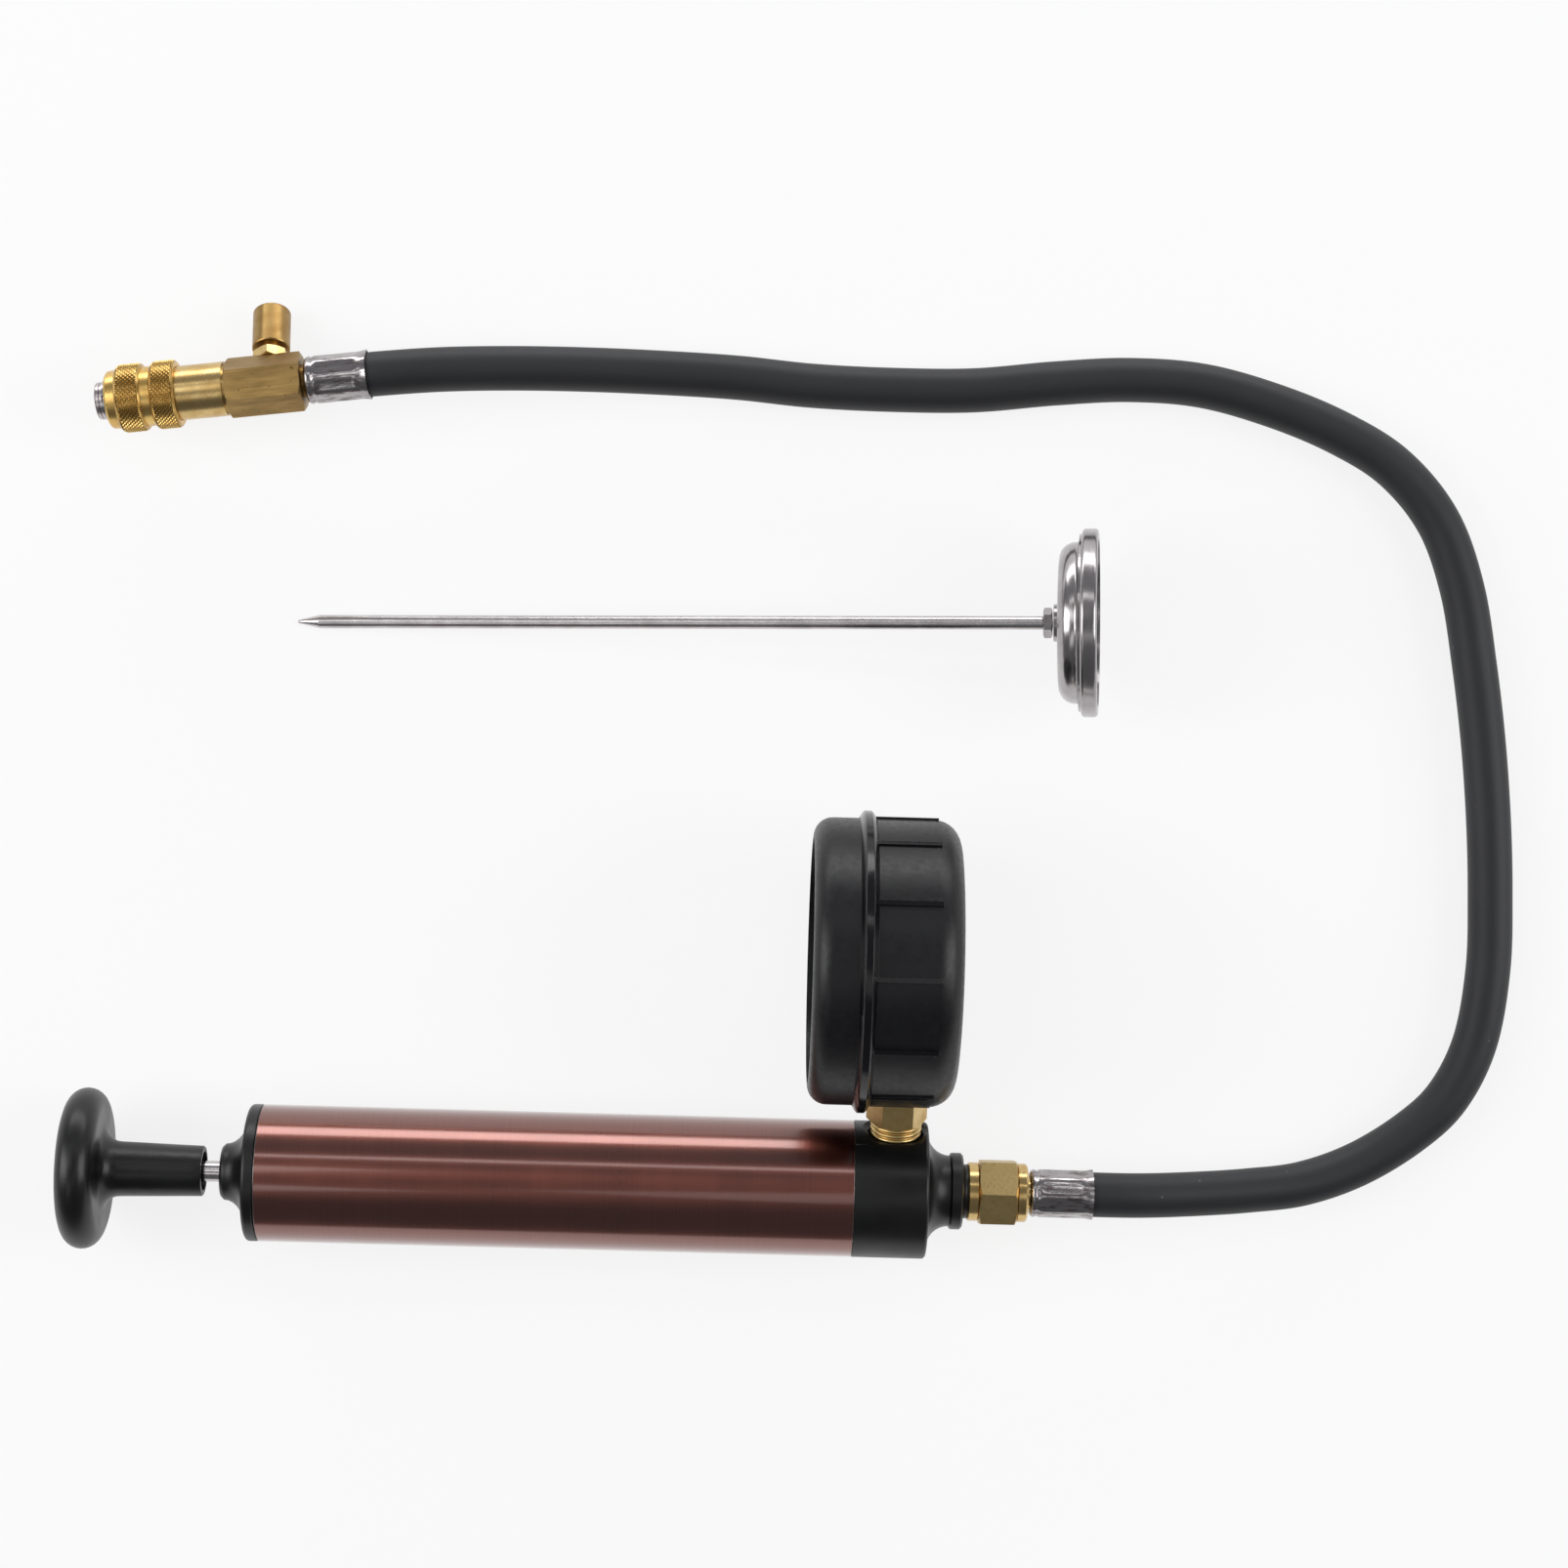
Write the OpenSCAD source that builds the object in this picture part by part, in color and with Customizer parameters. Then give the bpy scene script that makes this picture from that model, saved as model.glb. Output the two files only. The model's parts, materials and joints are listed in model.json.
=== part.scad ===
// Radiator pressure tester: hand pump with a gauge, hose with a quick coupler, and thermometer.
// The set lies on a flat surface at z = 0, the pump's axis along X with its knob at -X.

/* [Barrel] */
// Outside diameter of the barrel tube
barrel_d = 36.4; // [34:0.2:40]
// Length of the barrel tube
barrel_len = 158; // [130:1:200]
// Wall of the barrel tube
barrel_wall = 1.7; // [1.2:0.1:2.2]

/* [Rear cap] */
// Thickness of the flange against the barrel
cap_flange_t = 3.4; // [2.6:0.2:5]
// Length of the flared nose behind the flange
cap_nose_len = 7; // [5:0.5:12]
// Diameter of the boss round the rod
cap_boss_d = 15; // [13.5:0.5:18]
// Depth of the cap's spigot in the barrel
cap_spigot_len = 12; // [9:1:20]
// Outside diameter of the rod's guide bush
guide_d = 10; // [9:0.5:11]

/* [Knob and rod] */
// Diameter of the knob's disc
knob_d = 42.8; // [38:0.4:50]
// Thickness of the knob's disc, which is also its rim's roundness
knob_t = 10; // [8:0.5:12]
// Fillet between the disc and the shank
knob_fillet = 4.5; // [3:0.5:6]
// Length of the shank from the disc
shank_len = 26.6; // [22:0.2:34]
// Diameter of the shank at the disc
shank_d = 14.6; // [13.6:0.2:17]
// Diameter of the shank at its open end
shank_end_d = 13.4; // [12.6:0.2:14.4]
// Depth of the hollow in the shank's end
shank_hollow = 13; // [8:1:16]
// Wall of the shank round its hollow
shank_wall = 1.5; // [1.2:0.1:2]
// Thickness of the ribs in the hollow
shank_rib_t = 1.2; // [0.8:0.1:2]
// Diameter of the piston rod
rod_d = 5.6; // [5:0.1:6.4]
// Length of rod that shows between knob and cap at rest
knob_gap = 5; // [3:0.5:12]

/* [Piston] */
// Thickness of the piston's plate
piston_t = 5; // [4:0.5:8]
// Thickness of the cup seal
cup_t = 1.6; // [1.2:0.1:2.2]
// Length of the cup seal's lip
cup_lip = 4; // [3:0.5:6]
// Diameter of the washer that clamps the cup seal
clamp_d = 22; // [18:1:26]
// Thickness of that washer
clamp_t = 1.2; // [0.8:0.1:2]
// Diameter of the rod's threaded end
rod_thread_d = 4; // [3:0.5:4.5]
// Width of the rod's nut across its flats
rod_nut_af = 7; // [6:0.5:9]
// Thickness of the rod's nut
rod_nut_t = 3.2; // [2.4:0.2:4]

/* [Front head] */
// Length of the head's straight part outside the barrel
head_len = 19.6; // [18:0.2:26]
// Depth of the head's spigot in the barrel
head_spigot_len = 13; // [10:1:18]
// Cord thickness of the head's O-ring
head_seal_cord = 1.85; // [1.4:0.05:2.4]
// Length of the concave flare
head_flare_len = 6.2; // [4:0.2:9]
// Diameter of the collar in front of the flare
head_collar_d = 20.4; // [18:0.2:24]
// Length of that collar
head_collar_len = 3.4; // [2:0.2:5]
// Diameter of the short neck under the outlet fitting
head_neck_d = 14.4; // [14:0.2:17]
// Length of that neck
head_neck_len = 1.3; // [0.8:0.1:2.5]
// Diameter of the outlet's thread
outlet_thread_d = 12; // [11:0.5:13]
// Length of the outlet's thread
outlet_thread_len = 9.5; // [7:0.5:11]
// Diameter of the valve chamber in the head
chamber_d = 9; // [8:0.5:10]
// Diameter of the inlet hole behind the ball
inlet_d = 4; // [3:0.5:5]
// Diameter of the non-return ball
ball_d = 6.4; // [6:0.2:7]
// Lift of the non-return ball
ball_lift = 1.5; // [1:0.25:3]

/* [Outlet fitting] */
// Diameter of the rings on both sides of the hexagon
fitting_ring_d = 15.6; // [15:0.2:16.2]
// Length of the ring at the head
fitting_ring_len = 3; // [2:0.2:5]
// Width of the fitting's hexagon across its flats
fitting_af = 16.4; // [16:0.1:18]
// Length of the fitting's hexagon
fitting_hex_len = 10.2; // [8:0.2:14]
// Length of the ring at the hose
fitting_collar_len = 2.8; // [2:0.1:4]

/* [Hose and ferrules] */
// Outside diameter of the hose
hose_d = 12; // [10:0.5:13]
// Bore of the hose
hose_bore = 6.2; // [5:0.2:7]
// Outside diameter of a crimped ferrule
ferrule_d = 12.8; // [12.4:0.1:14]
// Wall of a ferrule
ferrule_wall = 0.6; // [0.4:0.05:0.9]
// Length of a ferrule
ferrule_len = 17; // [14:0.5:22]
// Length of the hose tails inside the hose
tail_len = 14; // [11:0.5:16]
// Bore of the hose tails
tail_bore = 3; // [2:0.25:3.5]

/* [Gauge] */
// Distance from the pump's axis to the gauge's centre
gauge_arm = 65.4; // [62:0.2:76]
// Distance from the barrel's front end to the gauge's stem
gauge_set = 10.8; // [9.8:0.1:12]
// Diameter of the boot's body
boot_d = 75; // [72:0.5:80]
// Diameter of the boot's ridge
ridge_d = 79; // [77:0.5:86]
// Width of the boot's ridge
ridge_w = 3; // [2:0.5:5]
// Depth of the boot from the stem's plane to its back
boot_back = 14; // [13.6:0.2:18]
// Depth of the boot from the stem's plane to its open front
boot_front = 24.4; // [22:0.2:27]
// Distance from the stem's plane to the ridge
ridge_set = 10.4; // [7:0.2:12]
// Wall of the boot
boot_wall = 3.2; // [2.4:0.2:4]
// Number of ribs round the boot
boot_ribs = 12; // [6:1:24]
// Width of one rib
boot_rib_w = 1.4; // [0.8:0.1:2]
// Height of one rib
boot_rib_h = 0.6; // [0.3:0.1:1]
// Wall of the gauge's case
case_wall = 0.9; // [0.6:0.1:1.4]
// Thickness of the gauge's window
gauge_lens_t = 2; // [1.4:0.2:3]
// Thickness of the gauge's dial
gauge_dial_t = 0.8; // [0.5:0.1:1.2]
// Width of the gauge's stem across its flats
socket_af = 14; // [13:0.5:14.5]
// Diameter of the gauge's thread
socket_thread_d = 12.5; // [11:0.5:13]
// Length of the gauge's thread
socket_thread_len = 8; // [6:0.5:8.5]
// Mean radius of the curved pressure tube
bourdon_r = 27; // [25:0.5:28]
// Width of that tube along the gauge's axis
bourdon_w = 8; // [6:0.5:9]
// Thickness of that tube
bourdon_t = 2.6; // [2:0.2:3]
// Tooth module of the gauge's gears
gear_module = 0.35; // [0.3:0.05:0.4]
// Teeth on the pointer's pinion
pinion_teeth = 12; // [10:2:14]
// Teeth that the sector gear would have as a full wheel
sector_teeth = 84; // [72:12:96]
// Width of the gears
gear_w = 1.6; // [1:0.2:2.4]
// Length of the gauge's pointer from its hub
needle_len = 24; // [18:1:27]

/* [Coupler] */
// Width of the valve body across its flats
valve_af = 14; // [13.6:0.2:15]
// Length of the valve body's hexagon
valve_len = 20.6; // [19:0.2:26]
// Distance from the valve body's hose end to the relief valve
relief_set = 9.2; // [8:0.2:10]
// Diameter of the coupler's smooth body
coupler_d = 14.6; // [14:0.2:15]
// Length of that smooth body
coupler_grip_len = 12.7; // [10:0.5:18]
// Diameter of the sleeve over its knurled bands
sleeve_d = 17.8; // [17.2:0.2:20]
// Diameter of the sleeve between its bands
sleeve_groove_d = 16; // [15.8:0.1:16.6]
// Length of the rear knurled band
sleeve_band_a = 6.6; // [5:0.2:9]
// Length of the groove between the bands
sleeve_groove_len = 2.6; // [1.6:0.2:4]
// Length of the front knurled band
sleeve_band_b = 6.9; // [6.2:0.1:9]
// Length of the sleeve's plain front
sleeve_front_len = 3; // [2:0.2:5]
// Travel of the sleeve
sleeve_travel = 3; // [2:0.25:3.5]
// Diameter of the coupler's nose
nose_d = 10; // [9.6:0.1:10.4]
// Length of the nose in front of the sleeve
nose_len = 3.1; // [2.4:0.1:5]
// Bore of the coupler's socket
socket_bore = 6.1; // [5.8:0.1:6.4]
// Depth of the coupler's socket
socket_depth = 17.5; // [16:0.5:18]
// Diameter of the throat behind the socket's seal
throat_d = 5; // [4.4:0.2:5.4]
// Diameter of one locking ball
lock_ball_d = 1.85; // [1.6:0.05:1.9]
// Number of locking balls
lock_ball_count = 4; // [3:1:6]
// Bore of the chamber behind the socket
poppet_chamber_d = 8; // [7.4:0.2:8.4]
// Travel of the coupler's poppet
poppet_travel = 2.5; // [1.5:0.25:3]

/* [Relief valve] */
// Width of the relief valve's hexagon across its flats
relief_af = 8.7; // [8:0.1:9.2]
// Length of that hexagon
relief_hex_len = 3; // [2:0.2:4]
// Travel of the cap
relief_travel = 1.2; // [0.8:0.1:1.3]
// Diameter of the cap
relief_cap_d = 10.2; // [9.6:0.1:11]
// Length of the cap
relief_cap_len = 12.4; // [10:0.2:15]
// Diameter of the spigot that guides the cap
relief_spigot_d = 5.2; // [4.8:0.1:6]

/* [Thermometer] */
// Length of the thermometer's stem
stem_len = 203.1; // [150:1:210]
// Diameter of the thermometer's stem
stem_d = 3.6; // [3.4:0.1:4]
// Length of the stem's point
stem_point = 6; // [4:0.5:10]
// Thickness of the calibration nut
cal_nut_t = 2.4; // [1.8:0.1:3.5]
// Width of the calibration nut across its flats
cal_nut_af = 7; // [6:0.1:9]
// Diameter of the head's collar
head_hub_d = 10; // [8:0.5:12]
// Length of the head's collar
head_hub_len = 1.4; // [1:0.1:2.5]
// Diameter of the thermometer's case
case_d = 43; // [38:0.5:46]
// Depth of the thermometer's case
case_depth = 6; // [5:0.2:9]
// Diameter of the thermometer's bezel
bezel_d = 50.1; // [49:0.1:56]
// Thickness of the bezel
bezel_t = 4.4; // [4:0.1:6]

/* [Hidden] */
$fn = 72;

// Clearances
seat_gap = 0.05;   // between pieces that are screwed, pressed or seated together
run_gap = 0.05;    // radial, between a shaft and its bore
free_gap = 0.3;    // between pieces that pass each other
cut = 0.1;         // overrun of a cutting tool

// ---- Pump, with u along its axis from the barrel's rear end towards the outlet ----
barrel_r = barrel_d / 2;
bore_r = barrel_r - barrel_wall;
spigot_r = bore_r - seat_gap;
boss_face = -cap_flange_t - cap_nose_len;
shank_end = boss_face - knob_gap;
disc_front = shank_end - shank_len;
disc_mid = disc_front - knob_t / 2;
disc_back = disc_front - knob_t;
rod_r = rod_d / 2;
rod_start = disc_front - 2;
head_face = barrel_len - head_spigot_len;
rod_tip = head_face - knob_gap - 0.6;
nut_front = rod_tip - 0.6;
nut_back = nut_front - rod_nut_t;
clamp_back = nut_back - seat_gap - clamp_t;
cup_back = clamp_back - seat_gap - cup_t;
piston_back = cup_back - seat_gap - piston_t;
head_shoulder = barrel_len + head_len;
collar_start = head_shoulder + head_flare_len;
collar_end = collar_start + head_collar_len;
head_end = collar_end + head_neck_len;
edge_round = 1;

// The ball sits on a cone of 45 degrees.
seat_start = head_face + 5;
seat_end = seat_start + (chamber_d - inlet_d) / 2;
ball_r = ball_d / 2;
ball_u = seat_start - inlet_d / 2 + ball_r * sqrt(2) + 0.1;
fitting_start = head_end + seat_gap;
thread_start = fitting_start - outlet_thread_len;
chamber_end = thread_start - free_gap;
hex_start = fitting_start + fitting_ring_len;
hex_end = hex_start + fitting_hex_len;
fitting_end = hex_end + fitting_collar_len;

// The pump lies on the knob's rim and on the head's front edge.
knob_r = knob_d / 2;
head_edge_u = head_shoulder - edge_round;
pitch = asin((knob_r - barrel_r) / (head_edge_u - disc_mid));
pump_x = -85;
pump_y = -78;
pump_h = barrel_r * cos(pitch) + head_edge_u * sin(pitch);
function pump_point(u) = [pump_x + u * cos(pitch), pump_y, pump_h - u * sin(pitch)];

// ---- Gauge, with its dial towards the knob, resting on the boot's ridge ----
gauge_u = barrel_len + gauge_set;
ridge_u = gauge_u - ridge_set;
gauge_roll = asin((ridge_d / 2 - (pump_h / cos(pitch) - ridge_u * tan(pitch))) / gauge_arm);
spot_r = barrel_r - 1.6;
socket_foot = spot_r + 3.8;
boot_r = boot_d / 2;
boot_bore_r = boot_r - boot_wall;
case_r = boot_bore_r - 0.1;
case_in_r = case_r - case_wall;
case_back = -boot_back + 2.2 + 0.1;
lens_z = boot_front - 2.4 - 1.1 - gauge_lens_t - 2 * seat_gap;
bezel_in_r = case_r - 3.7;
dial_z = lens_z - 6;
needle_z = dial_z + gauge_dial_t + 1.4;
case_front = lens_z - seat_gap;
plate_t = 1.4;
plate_w = 17;
plate_top = 5;
post_r = 1.2;
plate_back_z = -6.5;
plate_front_z = dial_z - 2.2 - plate_t;
gear_z = plate_back_z + plate_t + 1.6;
pinion_r = gear_module * pinion_teeth / 2;
sector_r = gear_module * sector_teeth / 2;
sector_pivot = pinion_r + sector_r + 0.02;
block_top = -sector_pivot - 7;
block_w = 13;
bourdon_z = -bourdon_w / 2 - 1.2;
tail_r = 6;
pin_r = 0.6;
arbor_r = 0.8;
needle_sweep = 270;
sector_swing = needle_sweep * pinion_teeth / sector_teeth;
// The tube's free end, and the sector's tail, which stands square to the link at mid swing
tube_tip_a = 5;
tube_tip = bourdon_r * [cos(tube_tip_a), sin(tube_tip_a)];
tail_a = -45 - sector_swing / 2;
tail_tip = [0, -sector_pivot] + tail_r * [cos(tail_a), sin(tail_a)];
link_z = bourdon_z + bourdon_w / 2 + 0.3;
link_t = 0.7;

// ---- Coupler, with s along its axis from the ferrule's hose end towards the nose ----
collar_t = 1;
valve_start = ferrule_len + 0.8;
valve_end = valve_start + valve_len;
grip_start = valve_end + 0.5;
sleeve_start = grip_start + coupler_grip_len;
band_a_end = sleeve_start + sleeve_band_a;
band_b_start = band_a_end + sleeve_groove_len;
band_b_end = band_b_start + sleeve_band_b;
sleeve_end = band_b_end + sleeve_front_len;
nose_end = sleeve_end + nose_len;
nose_r = nose_d / 2;
coupler_r = coupler_d / 2;
socket_r = socket_bore / 2;
socket_end = nose_end - socket_depth;
throat_r = throat_d / 2;
poppet_chamber_r = poppet_chamber_d / 2;
poppet_face = socket_end - 0.6;
union_len = 6.6;
union_r = 4.9;
ball_s = sleeve_end - 4.9;
ring_groove_r = nose_r - 0.5;
ring_s = sleeve_end + 0.15;
ring_t = 0.8;
seal_s = socket_end + 4;
sleeve_spring_solid = 4.6;
sleeve_step_s = ball_s - 3.6;
spring_back_s = sleeve_step_s - sleeve_travel - sleeve_spring_solid;

relief_s = valve_start + relief_set;
relief_hex_start = valve_af / 2 + seat_gap;
relief_hex_end = relief_hex_start + relief_hex_len;
relief_cap_start = relief_hex_end + relief_travel + free_gap;
relief_cap_end = relief_cap_start + relief_cap_len;
relief_roof = relief_cap_end - 1.6;
relief_cap_r = relief_cap_d / 2;
relief_spigot_r = relief_spigot_d / 2;
relief_seat_z = 3.6;

// The coupler leans on the rim of the relief valve's cap.
relief_roll = 30;
coupler_pitch = 3;
coupler_yaw = 186.9;
coupler_x = -62.7;
coupler_y = 136.3;
cap_round = 0.6;
cap_drop = relief_cap_end * sin(relief_roll) - cap_round * sin(relief_roll)
    + (relief_cap_r - cap_round) * cos(relief_roll) + cap_round;
coupler_h = cap_drop * cos(coupler_pitch) + relief_s * sin(coupler_pitch);
function coupler_point(s) = [
    coupler_x + s * cos(coupler_pitch) * cos(coupler_yaw),
    coupler_y + s * cos(coupler_pitch) * sin(coupler_yaw),
    coupler_h - s * sin(coupler_pitch)];

// ---- Thermometer, with t along its stem from the point ----
point_r = 0.4;
stem_r = stem_d / 2;
stem_neck_r = stem_r - 0.2;
cal_nut_end = stem_len + cal_nut_t;
hub_start = cal_nut_end + 0.3;
hub_end = hub_start + head_hub_len;
thermo_case_start = hub_end + seat_gap;
thermo_case_end = thermo_case_start + case_depth;
bezel_start = thermo_case_end + seat_gap;
bezel_end = bezel_start + bezel_t;
bezel_r = bezel_d / 2;
bezel_round = 1;
thermo_lens_t = 1.2;
thermo_dial_t = 0.6;
spindle_r = 0.45;
thermo_needle_len = 17;
thermo_needle_tail = 5;
thermo_coil_start = stem_point + 6;
thermo_coil_len = 40;
thermo_incline = atan((bezel_r - point_r) / (bezel_start + bezel_round));
thermo_yaw = 1.2;
thermo_x = -82.4;
thermo_y = 70.3;

// ---- Hose, whose ends follow the pump's outlet and the coupler ----
ferrule_start = fitting_end + 0.5;
hose_start_u = ferrule_start + collar_t + 0.2;
hose_end_s = ferrule_len - collar_t - 0.2;
crimp_r = ferrule_d / 2 - ferrule_wall - 0.1;
hose_r = hose_d / 2;
hose_sides = 12;
hose_steps = 2;
hose_way = [
    [150, -78, 16.5], [165, -77.5, 13.5], [180, -76.5, 10.5], [195, -74.5, 8],
    [210, -69, 6.4], [224, -60, 6.1], [234, -50, 6.1], [241, -35, 6.1], [244, -15, 6.1],
    [244, 5, 6.1], [243, 25, 6.1], [241, 46, 6.1], [238, 67, 6.1], [234, 88, 6.1],
    [227, 106, 6.1], [215, 120, 6.1], [200, 129, 6.1], [182, 136, 6.1], [162, 141, 6.1],
    [142, 142, 6.1], [122, 140.5, 6.1], [100, 138, 6.1], [78, 137.5, 6.1],
    [56, 138, 6.1], [36, 139.5, 6.8], [16, 140, 8.8], [-4, 140, 11.3], [-24, 139.5, 13.8],
    [-44, 138.3, 16.2]];

// ---- Curves ----
function arc(c, r, a0, a1, n = 6) =
    [for (i = [0:n]) c + r * [cos(a0 + (a1 - a0) * i / n), sin(a0 + (a1 - a0) * i / n)]];
// A concave quarter curve from [r0, u0], level with the axis, to [r1, u1], square to it
function flare(r0, u0, r1, u1, n = 8) =
    [for (i = [0:n]) [r0 + (r1 - r0) * (1 - cos(90 * i / n)), u0 + (u1 - u0) * sin(90 * i / n)]];
function reversed(list) = [for (i = [len(list) - 1:-1:0]) list[i]];
function unit(v) = v / norm(v);
function shifted(list, by) = [for (x = list) x + by];
// Saw teeth of a hose tail from u0, each rising from r0 to r1
function barbs(u0, pitch_u, count, r0, r1) =
    [for (i = [0:count - 1]) each [[r1, u0 + i * pitch_u + 0.4], [r0, u0 + (i + 1) * pitch_u]]];
// A smooth curve through four points, at f from the second to the third
function between(a, b, c, d, f) =
    b + f * (c - a) / 2 + f * f * (2 * a - 5 * b + 4 * c - d) / 2
    + f * f * f * (3 * b - a - 3 * c + d) / 2;
function smooth_way(p, steps) = [
    for (i = [0:len(p) - 2], k = [0:steps - 1])
        between(p[max(i - 1, 0)], p[i], p[i + 1], p[min(i + 2, len(p) - 1)], k / steps),
    p[len(p) - 1]];

// ---- Shared shapes ----
// A solid of revolution along +X from points [radius, place]
module turned(points) {
    rotate([0, 90, 0]) rotate_extrude() polygon(points);
}
module rod_x(r, u0, u1) {
    translate([u0, 0, 0]) rotate([0, 90, 0]) cylinder(r = r, h = u1 - u0);
}
module rod_z(r, z0, z1) {
    translate([0, 0, z0]) cylinder(r = r, h = z1 - z0);
}
// A hexagon bar along +X with its end corners turned off
module hex_x(af, u0, u1, chamfer = 0.8) {
    corner_r = af / sqrt(3);
    intersection() {
        translate([u0, 0, 0]) rotate([0, 90, 0]) rotate([0, 0, 30])
            cylinder(r = corner_r, h = u1 - u0, $fn = 6);
        turned([[0, u0], [af / 2 - 0.1, u0], [af / 2 - 0.1 + chamfer * 2, u0 + chamfer],
            [af / 2 - 0.1 + chamfer * 2, u1 - chamfer], [af / 2 - 0.1, u1], [0, u1]]);
    }
}
// The hexagon bar along +Z
module hex_z(af, z0, z1, chamfer = 0.8) {
    rotate([0, -90, 0]) hex_x(af, z0, z1, chamfer);
}
// A coil spring along +X of round wire
module coil_x(r, wire_r, u0, u1, turns, sides = 6, per_turn = 12) {
    rings = turns * per_turn;
    rise = (u1 - u0 - 2 * wire_r) / turns / 360;
    points = [for (i = [0:rings], k = [0:sides - 1])
        let (a = 360 * i / per_turn, q = 360 * k / sides, d = r + wire_r * cos(q))
        [u0 + wire_r + rise * a + wire_r * sin(q), d * cos(a), d * sin(a)]];
    faces = concat(
        [for (i = [0:rings - 1], k = [0:sides - 1]) let (n = (k + 1) % sides)
            each [[i * sides + k, i * sides + n, (i + 1) * sides + n],
                [i * sides + k, (i + 1) * sides + n, (i + 1) * sides + k]]],
        [for (k = [1:sides - 2]) [0, k + 1, k]],
        [for (k = [1:sides - 2]) shifted([0, k, k + 1], rings * sides)]);
    polyhedron(points, faces);
}
// A round ring along +X of round section
module ring_x(r, cord_r, u) {
    translate([u, 0, 0]) rotate([0, 90, 0]) rotate_extrude()
        translate([r, 0]) circle(r = cord_r, $fn = 24);
}
// A crimped ferrule from its flared lip at 0 to its closed collar
module ferrule(tail_r) {
    out_r = ferrule_d / 2;
    in_r = out_r - ferrule_wall;
    lip_r = hose_r + 0.25;
    difference() {
        turned(concat(
            [[lip_r, 0], [lip_r + ferrule_wall * 0.8, 0.1], [out_r, 1.8],
                [out_r, ferrule_len - 1.2]],
            arc([out_r - 0.9, ferrule_len - 1.1], 1.1, 35, 90),
            [[tail_r, ferrule_len], [tail_r, ferrule_len - collar_t],
                [in_r, ferrule_len - collar_t], [in_r, 2.4]]));
        for (a = [0:45:315]) rotate([a, 0, 0])
            translate([0, 0, out_r + 3.4 - 0.28]) rod_x(3.4, 3.4, ferrule_len - 2.8);
    }
}
// The part of a hose fitting that goes into the hose, pointing along +X from u0
module hose_tail(u0) {
    tail_r = hose_bore / 2 - 0.22;
    count = floor((tail_len - 1) / 2.6);
    turned(concat([[0, u0 - 1], [tail_r - 0.5, u0 - 1], [tail_r - 0.5, u0]],
        barbs(u0, 2.6, count, tail_r - 0.5, tail_r),
        [[tail_r - 0.5, u0 + tail_len], [0, u0 + tail_len]]));
}

module pump_frame() {
    translate([pump_x, pump_y, pump_h]) rotate([0, pitch, 0]) children();
}
// Gauge: z towards the dial's reader, y up the dial, origin at the gauge's centre
module gauge_frame() {
    pump_frame() translate([gauge_u, 0, 0]) rotate([gauge_roll - 90, 0, 0])
        translate([0, 0, gauge_arm]) rotate([90, 0, -90]) children();
}
module coupler_frame() {
    translate([coupler_x, coupler_y, coupler_h]) rotate([0, coupler_pitch, coupler_yaw])
        children();
}
// Relief valve: z away from the coupler's axis
module relief_frame() {
    coupler_frame() translate([relief_s, 0, 0]) rotate([90 + relief_roll, 0, 0]) children();
}
module thermo_frame() {
    translate([thermo_x, thermo_y, point_r * cos(thermo_incline)])
        rotate([0, -thermo_incline, thermo_yaw]) children();
}

// ---- Pump ----
module barrel() {
    color("peru") pump_frame() turned([[bore_r + 0.3, 0], [barrel_r - 0.3, 0],
        [barrel_r, 0.3], [barrel_r, barrel_len - 0.3], [barrel_r - 0.3, barrel_len],
        [bore_r + 0.3, barrel_len], [bore_r, barrel_len - 0.3], [bore_r, 0.3]]);
}
module rear_cap() {
    boss_r = cap_boss_d / 2;
    hub_r = guide_d / 2 + 3;
    color("#1c1c1e") pump_frame() difference() {
        turned(concat([[0, boss_face], [boss_r - 0.8, boss_face]],
            [[boss_r, boss_face + 0.8]],
            flare(boss_r, boss_face + 0.8, barrel_r - 1.4, -cap_flange_t),
            arc([barrel_r - 1.2, -cap_flange_t + 1.2], 1.2, -80, 0),
            [[barrel_r, -seat_gap - 0.4], [barrel_r - 0.4, -seat_gap],
                [spigot_r, -seat_gap], [spigot_r, cap_spigot_len - 0.6],
                [spigot_r - 0.6, cap_spigot_len], [0, cap_spigot_len]]));
        rod_x(rod_r + 0.25, boss_face - cut, 0);
        rod_x(guide_d / 2 + seat_gap, boss_face + 3, cap_spigot_len + cut);
        difference() {
            rod_x(spigot_r - 1.6, 1.6, cap_spigot_len + cut);
            rod_x(hub_r, 0, cap_spigot_len);
            for (a = [0:60:300]) rotate([a, 0, 0])
                translate([0, -0.7, 0]) cube([cap_spigot_len, 1.4, spigot_r]);
        }
    }
}
module rod_guide() {
    start = boss_face + 3 + seat_gap;
    color("ivory") pump_frame() difference() {
        rod_x(guide_d / 2, start, cap_spigot_len - 1);
        rod_x(rod_r + run_gap, start - cut, cap_spigot_len);
    }
}
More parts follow.
